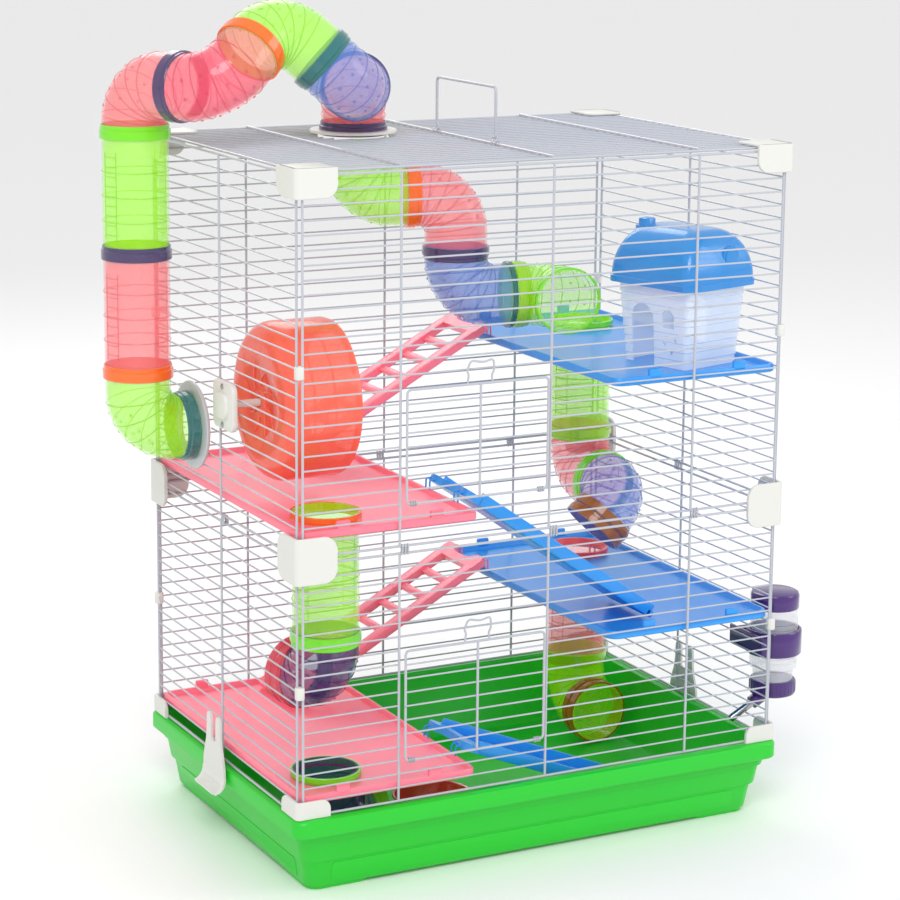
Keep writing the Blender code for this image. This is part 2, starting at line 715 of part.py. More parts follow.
def right_tubes():
    place = dropped_tube("right_drop_upper", RIGHT_PORT, UPPER_RIGHT_Z, TUBE_GREEN)
    place = elbow_tube("right_elbow_upper", place, -UP, MIDDLE_RIGHT_TURN, TUBE_PINK)
    side = MIDDLE_RIGHT_TURN.cross(UP)
    leaving = -UP * cos(MIDDLE_RIGHT_TILT) + side * sin(MIDDLE_RIGHT_TILT)
    elbow_tube("exit_elbow_middle", place, MIDDLE_RIGHT_TURN, leaving, TUBE_BLUE, end_collar=True)
    place = dropped_tube("right_drop_lower", RIGHT_PORT, MIDDLE_RIGHT_Z, TUBE_PINK)
    elbow_tube("exit_elbow_lower", place, -UP, heading(180), TUBE_GREEN, leg_in=EXIT_LEG, leg_out=LEG,
               end_collar=True)


LEFT_EXIT = heading(-13)


def left_tubes():
    place = dropped_tube("left_drop", LEFT_PORT, MIDDLE_LEFT_Z, TUBE_GREEN)
    elbow_tube("exit_elbow_left", place, -UP, LEFT_EXIT, TUBE_PURPLE, end_collar=True)
    start = Vector((*LEFT_PORT, LOWER_LEFT_Z + PORT_SEAT))
    elbow_tube("burrow_elbow", start, -UP, heading(92), TUBE_BLUE, leg_in=LOW_LEG, leg_out=0.0470,
               end_collar=True, start_collar=PORT_COLLAR)


# Wheel and its bracket

def wheel():
    """A drum turned round X: closed by the bracket, open towards the middle of the cage, on a plain axle."""
    depth = WHEEL_X[1] - WHEEL_X[0]
    round_off = 0.014
    profile = [(AXLE_RADIUS + 0.0012, depth), (WHEEL_RADIUS - round_off, depth)]
    for step in range(1, 5):
        angle = pi / 2 * step / 4
        profile.append((WHEEL_RADIUS - round_off + round_off * sin(angle), depth - round_off + round_off * cos(angle)))
    profile += [(WHEEL_RADIUS, 0.008), (WHEEL_RADIUS - 0.004, 0.001), (WHEEL_RADIUS - 0.012, 0)]
    drum = shell_of_screw("wheel", profile, CORAL, 0.0020, 24)
    drum.rotation_euler = (0, -pi / 2, 0)
    drum.location = (WHEEL_X[1], WHEEL_Y, WHEEL_Z)


def wheel_bracket():
    face = -CAGE_HALF_X - POST_WIRE - 0.0022
    bracket = boxes("wheel_bracket", [(
        (face - 0.0080, WHEEL_Y - 0.0210, WHEEL_Z - 0.0200), (face, WHEEL_Y + 0.0210, WHEEL_Z + 0.0200)
    )], CLIP)
    axle = cylinder("wheel_axle", AXLE_RADIUS, (face - 0.004, WHEEL_Y, WHEEL_Z),
                    (WHEEL_X[0] + 0.0090, WHEEL_Y, WHEEL_Z), CLIP, CUTTERS, 12)
    join(bracket, axle)


# House

def turned_about(obj, centre, angle, height):
    obj.location = (*centre, height)
    obj.rotation_euler = (0, 0, angle)


def house():
    base = UPPER_RIGHT_Z + GAP
    walls = frustum("house_walls", HOUSE_BASE_HALF, HOUSE_TOP_HALF, 0, HOUSE_WALL_HEIGHT, HOUSE_WHITE)
    wall = 0.0018
    inside = frustum("house_inside", [h - wall for h in HOUSE_BASE_HALF], [h - wall for h in HOUSE_TOP_HALF],
                     -0.00001, HOUSE_WALL_HEIGHT + 0.00001, None, CUTTERS)
    door = boxes("house_door", [((-0.06, -0.0010, -0.001), (0.06, 0.0260, 0.0400))], None, CUTTERS)
    arch = cylinder("house_door_arch", 0.0134, (-0.06, 0.0125, 0.0398), (0.06, 0.0125, 0.0398), None, CUTTERS)
    window = cylinder("house_window", 0.0070, (-0.06, -0.0180, 0.0440), (-0.02, -0.0180, 0.0440), None, CUTTERS, 12)
    for cutter in (inside, door, arch, window):
        cut(walls, cutter)
    turned_about(walls, HOUSE_CENTRE, HOUSE_TURN, base)
    roof = house_roof()
    turned_about(roof, HOUSE_CENTRE, HOUSE_TURN, base + HOUSE_WALL_HEIGHT + GAP)


def house_roof():
    """A domed lid: a grid lifted into a pillow shape, with a short skirt."""
    half_x, half_y = HOUSE_ROOF_HALF
    bm = bmesh.new()
    bmesh.ops.create_grid(bm, x_segments=8, y_segments=8, size=1)
    for vert in bm.verts:
        across = min(1.0, abs(vert.co.x))
        along = min(1.0, abs(vert.co.y))
        lift = (1 - across ** 2.6) ** 0.5 * (1 - along ** 2.6) ** 0.5
        vert.co = (vert.co.x * half_x, vert.co.y * half_y, 0.004 + HOUSE_ROOF_HEIGHT * lift)
    rim = [edge for edge in bm.edges if edge.is_boundary]
    skirt = bmesh.ops.extrude_edge_only(bm, edges=rim)
    for item in skirt["geom"]:
        if isinstance(item, bmesh.types.BMVert):
            item.co.z = 0.0003
    bmesh.ops.recalc_face_normals(bm, faces=bm.faces)
    roof = add_object("house_roof", mesh_from(bm, "house_roof"), BLUE)
    wall = roof.modifiers.new("wall", "SOLIDIFY")
    wall.thickness = 0.0018
    wall.offset = -1
    return roof


# Water bottle, clipped outside the right panel

BOTTLE_LOW = 0.1020
BOTTLE_HIGH = 0.1900
SPOUT_ROW = 1.5
SPOUT_TILT = radians(28)
SPOUT_RADIUS = 0.0035


def turned_solid(name, profile, location, material, steps=16):
    """Turns a closed (radius, height) outline that starts and ends on the axis, read top to bottom."""
    bm = bmesh.new()
    points = [bm.verts.new((radius, 0, height)) for radius, height in profile]
    for first, second in zip(points, points[1:]):
        bm.edges.new((first, second))
    obj = add_object(name, mesh_from(bm, name), material)
    screw = obj.modifiers.new("turn", "SCREW")
    screw.steps = steps
    screw.render_steps = steps
    screw.use_merge_vertices = True
    screw.merge_threshold = 0.00001
    obj.location = location
    return obj


def bottle():
    here = (BOTTLE_X, BOTTLE_Y, 0)
    turned_solid("bottle_body", [
        (0, BOTTLE_HIGH), (BOTTLE_RADIUS - 0.003, BOTTLE_HIGH), (BOTTLE_RADIUS, BOTTLE_HIGH - 0.003),
        (BOTTLE_RADIUS, BOTTLE_LOW + 0.019), (0.0180, BOTTLE_LOW + 0.0175), (0.0180, BOTTLE_LOW + 0.0080),
        (0, BOTTLE_LOW + 0.0080),
    ], here, CLEAR)
    spout_z = BASE_Z + SPOUT_ROW * LOWER_PITCH
    slope = Vector((cos(SPOUT_TILT), 0, sin(SPOUT_TILT)))
    crossing = Vector((CAGE_HALF_X, BOTTLE_Y, spout_z))
    neck = crossing + slope * ((BOTTLE_X - CAGE_HALF_X) / cos(SPOUT_TILT))
    cap = turned_solid("bottle_cap", [
        (0, BOTTLE_LOW + 0.0077), (0.0205, BOTTLE_LOW + 0.0077), (0.0205, BOTTLE_LOW - 0.0060),
        (0.0120, neck.z + 0.0060), (0.0105, neck.z - 0.0060), (0, neck.z - 0.0060),
    ], here, PURPLE)
    spout = cylinder("bottle_spout", SPOUT_RADIUS, neck, crossing - slope * 0.0190, WIRE, CUTTERS, 12)
    join(cap, spout)
    holder = cylinder("bottle_holder", BOTTLE_RADIUS + 0.0030, (BOTTLE_X, BOTTLE_Y, 0.1340),
                      (BOTTLE_X, BOTTLE_Y, 0.1560), PURPLE, sides=16)
    face = CAGE_HALF_X + POST_WIRE / 2 + GAP
    arms = boxes("bottle_holder_arms", [(
        (face, BOTTLE_Y - 0.0190, 0.1360), (BOTTLE_X - 0.012, BOTTLE_Y + 0.0330, 0.1540)
    )], PURPLE, CUTTERS)
    bore = cylinder("bottle_holder_bore", BOTTLE_RADIUS + 0.0004, (BOTTLE_X, BOTTLE_Y, 0.12),
                    (BOTTLE_X, BOTTLE_Y, 0.17), None, CUTTERS, 16)
    join(holder, arms)
    cut(holder, bore)


BOWL_CENTRE = (-0.0520, -0.0500)
BOWL_RADIUS = 0.0355
BOWL_HEIGHT = 0.0220


def bowl():
    profile = [
        (BOWL_RADIUS, BOWL_HEIGHT), (BOWL_RADIUS - 0.001, BOWL_HEIGHT - 0.002), (BOWL_RADIUS - 0.0030, 0.0060),
        (BOWL_RADIUS - 0.0080, 0.0), (0.0, 0.0),
    ]
    dish = shell_of_screw("food_bowl", profile, BOWL_RED, 0.0020, 20)
    dish.location = (*BOWL_CENTRE, TRAY_FLOOR + GAP)


tray()
latch("latch_left", -1)
latch("latch_right", 1)
cage_panels()
roof_panel()
wire_door("lower")
wire_door("upper")
carry_handle()
corner_clips()
platforms()
ladders()
outer_tubes()
side_flange()
inner_tubes()
right_tubes()
left_tubes()
wheel()
wheel_bracket()
house()
bottle()
bowl()
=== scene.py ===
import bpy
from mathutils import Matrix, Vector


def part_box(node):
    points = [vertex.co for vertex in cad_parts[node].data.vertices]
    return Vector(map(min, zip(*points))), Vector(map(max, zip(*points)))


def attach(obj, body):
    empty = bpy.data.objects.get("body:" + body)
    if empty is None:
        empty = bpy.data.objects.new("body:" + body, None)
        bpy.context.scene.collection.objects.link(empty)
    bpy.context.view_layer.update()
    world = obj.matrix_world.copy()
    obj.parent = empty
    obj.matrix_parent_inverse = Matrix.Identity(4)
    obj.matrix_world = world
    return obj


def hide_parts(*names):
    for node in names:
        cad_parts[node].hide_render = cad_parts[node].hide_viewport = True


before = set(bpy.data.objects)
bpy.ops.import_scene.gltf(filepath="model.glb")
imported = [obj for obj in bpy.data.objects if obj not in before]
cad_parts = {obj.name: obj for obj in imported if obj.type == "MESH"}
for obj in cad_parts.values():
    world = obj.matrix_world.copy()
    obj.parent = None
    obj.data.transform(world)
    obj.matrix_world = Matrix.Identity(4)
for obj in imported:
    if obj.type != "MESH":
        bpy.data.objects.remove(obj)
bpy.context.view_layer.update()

from math import atan2, cos, pi, radians, sin, sqrt

import bmesh
import bpy
from mathutils import Matrix, Vector

# Sizes shared with the solid model, in metres
CAGE_HALF_X = 0.2250
CAGE_HALF_Y = 0.1535
BASE_Z = 0.0690
SEAM_LOW_Z = 0.2770
SEAM_HIGH_Z = 0.2830
TOP_Z = 0.5845
ROOF_Z = 0.5875
ROW_WIRE = 0.0015
POST_WIRE = 0.0022
LOWER_ROWS = 18
UPPER_ROWS = 26
ROOF_ROWS = 26
POST_X = 0.1366
CORNER_GAP = 0.0035
GAP = 0.0003
LOWER_PITCH = (SEAM_LOW_Z - BASE_Z) / LOWER_ROWS
UPPER_PITCH = (TOP_Z - SEAM_HIGH_Z) / UPPER_ROWS
TUBE_RADIUS = 0.0275
RING_RADIUS = 0.0294
TUBE_WALL = 0.0016
RIB_RADIUS = TUBE_RADIUS + 0.0001
LEG = 0.0450
LOW_LEG = 0.0440
EXIT_LEG = 0.0510
TUBE_PITCH = 0.1000
SEAT = 0.0064
PORT_RADIUS = 0.0312
UP = Vector((0, 0, 1))
X_AXIS = Vector((1, 0, 0))
Y_AXIS = Vector((0, 1, 0))


# Shapes: rings of points skinned into one mesh

class Shape:
    """Collects closed shells, then makes one object of them."""

    def __init__(self):
        self.verts = []
        self.faces = []

    def skin(self, rings, caps=True, wrap=False):
        """Joins each ring of points to the next. wrap joins the last to the first instead of capping."""
        first = len(self.verts)
        count = len(rings[0])
        for ring in rings:
            self.verts += [tuple(point) for point in ring]
        spans = len(rings) if wrap else len(rings) - 1
        for row in range(spans):
            low = first + row * count
            high = first + ((row + 1) % len(rings)) * count
            for index in range(count):
                after = (index + 1) % count
                self.faces.append((low + index, low + after, high + after, high + index))
        if caps and not wrap:
            self.faces.append(tuple(first + index for index in reversed(range(count))))
            last = first + (len(rings) - 1) * count
            self.faces.append(tuple(last + index for index in range(count)))

    def wire(self, points, radius, sides=8, closed=False):
        """A round wire along a path."""
        points = [Vector(point) for point in points]
        rings = [round_ring(*place, radius, sides) for place in carried_frames(points, closed)]
        self.skin(rings, wrap=closed)

    def pipe(self, points, radius, wall, sides=40):
        """A hollow pipe along a path, open at both ends."""
        places = carried_frames([Vector(point) for point in points])
        outer = [round_ring(*place, radius, sides) for place in places]
        inner = [round_ring(*place, radius - wall, sides) for place in places]
        self.skin(outer + inner[::-1], wrap=True)

    def turned(self, profile, centre, axis, sides=40, closed=False):
        """Turns (radius, height) points round an axis. closed loops the profile, so nothing is capped."""
        centre = Vector(centre)
        axis = Vector(axis).normalized()
        side, other = normals_of(axis)
        rings = [round_ring(centre + axis * height, side, other, max(radius, 0.00002), sides)
                 for radius, height in profile]
        self.skin(rings, wrap=closed)

    def soft_box(self, low, high, radius=0.001, bevel=0.0005, matrix=None, steps=4):
        """A box with rounded upright corners and softened top and bottom edges."""
        low = Vector(low)
        high = Vector(high)
        middle = (low + high) / 2
        half = (high - low) / 2
        levels = ((bevel, low.z), (bevel * 0.3, low.z + bevel * 0.3), (0, low.z + bevel),
                  (0, high.z - bevel), (bevel * 0.3, high.z - bevel * 0.3), (bevel, high.z))
        rings = [rounded_loop(half.x - inset, half.y - inset, max(radius - inset, 0.0001), level, steps,
                              (middle.x, middle.y)) for inset, level in levels]
        if matrix:
            rings = [[matrix @ point for point in ring] for ring in rings]
        self.skin(rings)

    def ball(self, centre, radius, flat=1.0, normal=UP, sides=8):
        """A small round bump."""
        profile = [(radius * sin(pi * step / 5), -radius * flat * cos(pi * step / 5)) for step in range(6)]
        self.turned(profile, centre, normal, sides)

    def done(self, name, material, body, *nodes, smooth=True, slot=None):
        """The finished object, riding on its body in place of the nodes it stands for."""
        mesh = bpy.data.meshes.new(name)
        mesh.from_pydata(self.verts, [], self.faces)
        return placed(name, mesh, material, body, *nodes, smooth=smooth, slot=slot)


def placed(name, mesh, material, body, *nodes, smooth=True, slot=None):
    """A mesh made into an object: smooth but for its sharp edges, riding on a body, standing for nodes."""
    bm = bmesh.new()
    bm.from_mesh(mesh)
    bmesh.ops.recalc_face_normals(bm, faces=bm.faces)
    for face in bm.faces:
        face.smooth = smooth
    for edge in bm.edges:
        if len(edge.link_faces) == 2 and edge.calc_face_angle(0) > radians(38):
            edge.smooth = False
    bm.to_mesh(mesh)
    bm.free()
    obj = bpy.data.objects.new(name, mesh)
    bpy.context.scene.collection.objects.link(obj)
    mesh.materials.append(material)
    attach(obj, body)
    if nodes:
        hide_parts(*nodes)
    return obj


def normals_of(axis):
    """Two directions square to an axis and to each other."""
    side = axis.cross(UP) if abs(axis.z) < 0.9 else axis.cross(X_AXIS)
    side.normalize()
    return side, axis.cross(side)


def round_ring(centre, side, other, radius, sides):
    """Points round a circle that two directions span."""
    return [centre + side * radius * cos(2 * pi * step / sides) + other * radius * sin(2 * pi * step / sides)
            for step in range(sides)]


def carried_frames(points, closed=False):
    """(point, side, other) along a path, with the sides carried along so that nothing twists."""
    count = len(points)
    tangents = []
    for index in range(count):
        before = points[index - 1] if index or closed else points[index]
        after = points[(index + 1) % count] if index < count - 1 or closed else points[index]
        tangents.append((after - before).normalized())
    side = normals_of(tangents[0])[0]
    frames = []
    for point, tangent in zip(points, tangents):
        side = (side - tangent * side.dot(tangent)).normalized()
        frames.append((point, side.copy(), tangent.cross(side)))
    return frames


def rounded_loop(half_x, half_y, radius, height, steps=6, centre=(0, 0)):
    """Points round a rectangle with arcs at its corners."""
    radius = min(radius, half_x - 0.00001, half_y - 0.00001)
    points = []
    for corner, (side_x, side_y) in enumerate(((1, 1), (-1, 1), (-1, -1), (1, -1))):
        for step in range(steps + 1):
            angle = pi / 2 * (corner + step / steps)
            points.append(Vector((
                centre[0] + side_x * (half_x - radius) + radius * cos(angle),
                centre[1] + side_y * (half_y - radius) + radius * sin(angle), height,
            )))
    return points


def rounded_path(points, radius, steps=4):
    """A bent wire's path: straight runs with an arc at each inner corner."""
    points = [Vector(point) for point in points]
    path = [points[0]]
    for before, corner, after in zip(points, points[1:], points[2:]):
        inward = (before - corner).normalized()
        outward = (after - corner).normalized()
        reach = min(radius, (before - corner).length / 2, (after - corner).length / 2)
        for step in range(steps + 1):
            along = step / steps
            path.append(corner + inward * reach * (1 - along) ** 2 + outward * reach * along ** 2)
    path.append(points[-1])
    return path


def cut_mesh(mesh, cutters):
    """The mesh with the cutters' shapes taken out of it."""
    body = bpy.data.objects.new("cut_body", mesh)
    bpy.context.scene.collection.objects.link(body)
    tools = []
    for cutter in cutters:
        tool = bpy.data.objects.new("cutter", mesh_of(cutter, "cutter"))
        bpy.context.scene.collection.objects.link(tool)
        modifier = body.modifiers.new("cut", "BOOLEAN")
        modifier.operation = "DIFFERENCE"
        modifier.solver = "EXACT"
        modifier.object = tool
        tools.append(tool)
    graph = bpy.context.evaluated_depsgraph_get()
    result = bpy.data.meshes.new_from_object(body.evaluated_get(graph))
    for obj in tools + [body]:
        bpy.data.objects.remove(obj)
    return result


def mesh_of(shape, name):
    """A shape's mesh with its faces turned outwards, ready to be cut."""
    mesh = bpy.data.meshes.new(name)
    mesh.from_pydata(shape.verts, [], shape.faces)
    bm = bmesh.new()
    bm.from_mesh(mesh)
    bmesh.ops.recalc_face_normals(bm, faces=bm.faces)
    bm.to_mesh(mesh)
    bm.free()
    return mesh


# Materials

def principled(name, colour, roughness=0.3, coat=0.0, alpha=1.0, metallic=0.0, painted_glow=0.0, mottle=0.0):
    """A moulded or coated finish. mottle varies the roughness a little, as handled plastic does. Its emission
    is painted light: the surface gives off its own colour, brightening it though it is no lamp.
    """
    material = bpy.data.materials.new(name)
    material.use_nodes = True
    tree = material.node_tree
    shader = tree.nodes["Principled BSDF"]
    shader.inputs["Base Color"].default_value = (*colour, 1)
    shader.inputs["Roughness"].default_value = roughness
    shader.inputs["Metallic"].default_value = metallic
    shader.inputs["Coat Weight"].default_value = coat
    shader.inputs["Coat Roughness"].default_value = 0.08
    shader.inputs["Alpha"].default_value = alpha
    # Painted light: the surface emits its own colour, so it looks lit though it is no lamp.
    if painted_glow:
        shader.inputs["Emission Color"].default_value = (*colour, 1)
        shader.inputs["Emission Strength"].default_value = painted_glow
    if mottle:
        noise = tree.nodes.new("ShaderNodeTexNoise")
        noise.inputs["Scale"].default_value = 55
        noise.inputs["Detail"].default_value = 4
        spread = tree.nodes.new("ShaderNodeMapRange")
        spread.inputs["To Min"].default_value = roughness - mottle
        spread.inputs["To Max"].default_value = roughness + mottle
        tree.links.new(noise.outputs["Fac"], spread.inputs["Value"])
        tree.links.new(spread.outputs["Result"], shader.inputs["Roughness"])
    return material


# Many materials below emit a little of their own colour. This is painted light that brightens the tray,
# platforms, ladders, wheel, tubes, rings, house walls and bowl, though none is a lamp.
WIRE = principled("wire_coating", (0.46, 0.48, 0.53), 0.28, coat=0.3)
OFF_WHITE = principled("off_white_plastic", (0.70, 0.70, 0.66), 0.42, mottle=0.06)
GREEN = principled("tray_plastic", (0.008, 0.500, 0.018), 0.36, coat=0.12, painted_glow=0.12)
PINK = principled("pink_plastic", (1.0, 0.20, 0.28), 0.32, coat=0.15, painted_glow=0.06)
BLUE = principled("blue_plastic", (0.020, 0.300, 0.820), 0.30, coat=0.2, painted_glow=0.05)
CORAL = principled("coral_translucent", (0.95, 0.150, 0.085), 0.22, coat=0.4, alpha=0.76, painted_glow=0.08)
CORAL_DENSE = principled("coral_rim", (0.93, 0.145, 0.085), 0.22, coat=0.4, alpha=0.80, painted_glow=0.07)
TUBE_COLOURS = {
    "green": (0.42, 0.93, 0.010), "pink": (0.95, 0.20, 0.22), "blue": (0.12, 0.25, 0.68),
    "purple": (0.045, 0.025, 0.15), "rose": (0.90, 0.09, 0.17),
}
TUBE_ALPHA = {"green": 0.32, "pink": 0.32, "blue": 0.34, "purple": 0.45, "rose": 0.36}
TUBES = {key: principled("tube_" + key, colour, 0.08, coat=0.5, alpha=TUBE_ALPHA[key], painted_glow=0.10)
         for key, colour in TUBE_COLOURS.items()}
RIBS = {key: principled("ribs_" + key, tuple(value * 0.88 for value in colour), 0.12, alpha=0.42, painted_glow=0.05)
        for key, colour in TUBE_COLOURS.items()}
RING_COLOURS = {
    "orange": (0.95, 0.16, 0.010), "purple": (0.065, 0.040, 0.14), "teal": (0.020, 0.170, 0.170),
    "green": (0.20, 0.80, 0.010), "pink": (0.75, 0.05, 0.09), "amber": (0.42, 0.12, 0.010),
    "lime": (0.34, 0.72, 0.010),
}
RINGS = {key: principled("ring_" + key, colour, 0.12, coat=0.6, alpha=0.80, painted_glow=0.05)
         for key, colour in RING_COLOURS.items()}
MILKY = principled("house_milky", (0.74, 0.82, 0.93), 0.25, coat=0.2, alpha=0.62, painted_glow=0.10)
ROOF_BLUE = principled("house_roof_blue", (0.025, 0.27, 0.70), 0.22, coat=0.4, mottle=0.04)
CLEAR = principled("bottle_clear", (0.78, 0.80, 0.86), 0.06, coat=0.6, alpha=0.35)
PURPLE = principled("bottle_purple", (0.055, 0.012, 0.16), 0.22, coat=0.4, mottle=0.04)
STEEL = principled("spout_steel", (0.38, 0.39, 0.41), 0.18, metallic=1.0)
RED = principled("bowl_red", (0.80, 0.03, 0.02), 0.18, coat=0.5, alpha=0.82, painted_glow=0.04)
FLANGE = principled("flange_grey", (0.50, 0.52, 0.54), 0.35, coat=0.2)


# Wire panels

def straight(shape, start, end, radius):
    """One straight wire."""
    shape.wire([start, end], radius)


def outside_hole(spans, middle, across, radius):
    """What is left of a wire's (start, end) spans where it passes a round hole at a distance across."""
    if abs(across) >= radius:
        return spans
    half = sqrt(radius ** 2 - across ** 2)
    kept = []
    for start, end in spans:
        if start < middle - half:
            kept.append((start, min(end, middle - half)))
        if end > middle + half:
            kept.append((max(start, middle + half), end))
    return kept


def panel_wires(shape, place, width, low, high, count, posts, inline, opening=None, hole=(0, 0, 0)):
    """place turns (along, out, height) into the cage's coordinates; out is away from the cage.

    opening is a doorway (start, end, low, high) and hole a round port (along, height, radius).
    """
    side = width / 2
    frame_radius = POST_WIRE / 2
    middle = (low + high) / 2
    corners = [place(-side, 0, middle), place(-side, 0, high), place(side, 0, high), place(side, 0, low),
               place(-side, 0, low), place(-side, 0, middle - 0.001)]
    shape.wire(rounded_path(corners, 0.004), frame_radius)
    for index in range(1, count):
        height = low + (high - low) * index / count
        spans = [(-side, side)]
        if opening and opening[2] < height < opening[3]:
            spans = [(-side, opening[0]), (opening[1], side)]
        for start, end in outside_hole(spans, hole[0], height - hole[1], hole[2]):
            straight(shape, place(start, 0, height), place(end, 0, height), ROW_WIRE / 2)
    reach = ROW_WIRE / 2 + frame_radius - 0.0002
    for at, out in [(at, reach) for at in posts] + [(at, 0) for at in inline]:
        for start, end in outside_hole([(low, high)], hole[1], at - hole[0], hole[2]):
            straight(shape, place(at, out, start), place(at, out, end), frame_radius)


def facing(name):
    """How a side panel's own directions map to the cage's."""
    if name == "front":
        return lambda along, out, height: Vector((along, -CAGE_HALF_Y - out, height))
    if name == "back":
        return lambda along, out, height: Vector((-along, CAGE_HALF_Y + out, height))
    if name == "left":
        return lambda along, out, height: Vector((-CAGE_HALF_X - out, -along, height))
    return lambda along, out, height: Vector((CAGE_HALF_X + out, along, height))


DOOR_ROWS = (3, 11)
DOOR_LOW = {"lower": BASE_Z + DOOR_ROWS[0] * LOWER_PITCH, "upper": SEAM_HIGH_Z + DOOR_ROWS[0] * UPPER_PITCH}
DOOR_HIGH = {"lower": BASE_Z + DOOR_ROWS[1] * LOWER_PITCH, "upper": SEAM_HIGH_Z + DOOR_ROWS[1] * UPPER_PITCH}
TIERS = (("lower", BASE_Z, SEAM_LOW_Z, LOWER_ROWS), ("upper", SEAM_HIGH_Z, TOP_Z, UPPER_ROWS))


def side_panels():
    """The eight wire panels. The front ones leave a doorway and the upper left one a round port."""
    long_width = 2 * (CAGE_HALF_X - CORNER_GAP)
    short_width = 2 * (CAGE_HALF_Y - CORNER_GAP)
    for tier, low, high, count in TIERS:
        for side in ("front", "back", "left", "right"):
            shape = Shape()
            place = facing(side)
            if side == "front":
                opening = (-POST_X, 0, DOOR_LOW[tier] - 0.001, DOOR_HIGH[tier] + 0.001)
                panel_wires(shape, place, long_width, low, high, count, (POST_X,), (-POST_X, 0), opening)
            elif side == "back":
                panel_wires(shape, place, long_width, low, high, count, (-POST_X, 0, POST_X), ())
            else:
                hole = (-SIDE_PORT.y, SIDE_PORT.z, PORT_RADIUS) if side == "left" else (0, 0, 0)
                panel_wires(shape, place, short_width, low, high, count, (0,), (), hole=hole)
            name = side + "_panel_" + tier
            shape.done("wires_" + name, WIRE, "cage_frame", name)


def roof_wires():
    """Thin rows along X, three stout cross wires, and the rim, all stopping at the port."""
    shape = Shape()
    half_y = CAGE_HALF_Y - CORNER_GAP / 2
    panel_wires(shape, lambda along, out, height: Vector((along, height, ROOF_Z + out)),
                2 * (CAGE_HALF_X - CORNER_GAP / 2), -half_y, half_y, ROOF_ROWS, (-POST_X, 0, POST_X), (),
                hole=(ROOF_PORT.x, ROOF_PORT.y, PORT_RADIUS))
    shape.done("roof_wires", WIRE, "cage_frame", "roof_panel")


def seam_joiners():
    """Short bent wires that tie the two tiers together."""
    shape = Shape()
    for side, spots in (("front", (-POST_X, 0, POST_X)), ("back", (-POST_X, 0, POST_X)), ("left", (0,)),
                        ("right", (0,))):
        place = facing(side)
        for at in spots:
            for step in range(3):
                shift = (step - 1) * 0.0026
                shape.wire(rounded_path([
                    place(at + shift + 0.004, 0.0014, SEAM_LOW_Z - 0.0012),
                    place(at + shift + 0.004, 0.0024, (SEAM_LOW_Z + SEAM_HIGH_Z) / 2),
                    place(at + shift + 0.0047, 0.0014, SEAM_HIGH_Z + 0.0012),
                    place(at + shift + 0.0047, -0.0014, SEAM_HIGH_Z + 0.0012),
                    place(at + shift + 0.0047, -0.0014, SEAM_LOW_Z - 0.0012),
                ], 0.0012, 2), 0.0006, 6)
    shape.done("seam_joiners", WIRE, "cage_frame")


def corner_cuffs():
    """Small clips round the corner posts, midway up each tier."""
    shape = Shape()
    reach = Vector((0.0036, 0.0036, 0.0050))
    for side_x in (-1, 1):
        for side_y in (-1, 1):
            for height in (0.172, 0.431):
                centre = Vector((side_x * (CAGE_HALF_X - 0.0012), side_y * (CAGE_HALF_Y - 0.0012), height))
                shape.soft_box(centre - reach, centre + reach, 0.0026, 0.0006)
    shape.done("corner_cuffs", OFF_WHITE, "cage_frame")


# Doors, their catches, and the carry handle

DOOR_Y = -CAGE_HALF_Y - 0.0036
DOOR_HALF = (POST_X - 0.0084) / 2
DOOR_X = -POST_X / 2
CATCH_X = -0.0670
CATCH_HALF = 0.0118


def wire_door(tier):
    """A drop-down wire door with a keyhole-shaped catch of bent wire above its top bar."""
    shape = Shape()
    low = DOOR_LOW[tier]
    high = DOOR_HIGH[tier]
    panel_wires(shape, lambda along, out, height: Vector((DOOR_X + along, DOOR_Y - out * 0.5, height)),
                2 * DOOR_HALF, low, high, DOOR_ROWS[1] - DOOR_ROWS[0], (CATCH_X - DOOR_X,), ())
    top = high + 0.0195
    waist = high + 0.0080
    keyhole = [(-1, high), (-0.9, waist), (-1.05, waist + 0.003), (-0.75, top), (0.2, top - 0.0025), (1, top),
               (1.05, waist + 0.002), (0.85, waist - 0.002), (0.95, high)]
    loop = [(CATCH_X + CATCH_HALF * along, DOOR_Y, height) for along, height in keyhole]
    shape.wire(rounded_path(loop, 0.0035), 0.0009)
    for end in (-1, 1):
        centre = Vector((DOOR_X + end * (DOOR_HALF - 0.006), DOOR_Y, low))
        for turn in range(3):
            eye = centre + X_AXIS * (turn - 1) * 0.0020
            shape.wire([eye + Vector((0, 0.0019 * cos(2 * pi * step / 12), 0.0019 * sin(2 * pi * step / 12)))
                        for step in range(12)], 0.0006, 6, closed=True)
    shape.done("wires_door_" + tier, WIRE, "door_" + tier, "door_" + tier)


def carry_handle():
    """The bail on the roof and the small wire eyes that it turns in."""
    low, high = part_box("carry_handle")
    shape = Shape()
    radius = 0.00125
    base = low.z + radius + 0.001
    top = high.z - radius
    front = low.y + radius
    back = high.y - radius
    shape.wire(rounded_path([(0, front + 0.004, base), (0, front, base), (0, front, top), (0, back, top),
                             (0, back, base), (0, back - 0.004, base)], 0.0045), radius, 10)
    shape.done("carry_handle_bail", WIRE, "carry_handle", "carry_handle")
    eyes = Shape()
    for at in (front, back):
        for turn in (-1, 1):
            eyes.wire([Vector((0.0026 * cos(2 * pi * step / 14), at + turn * 0.0022,
                               ROOF_Z + 0.0021 + 0.0026 * sin(2 * pi * step / 14))) for step in range(14)],
                      0.0007, 6, closed=True)
    eyes.done("handle_eyes", WIRE, "cage_frame")


# Corner clips: one plate bent round each corner post, with a lid on the top ones

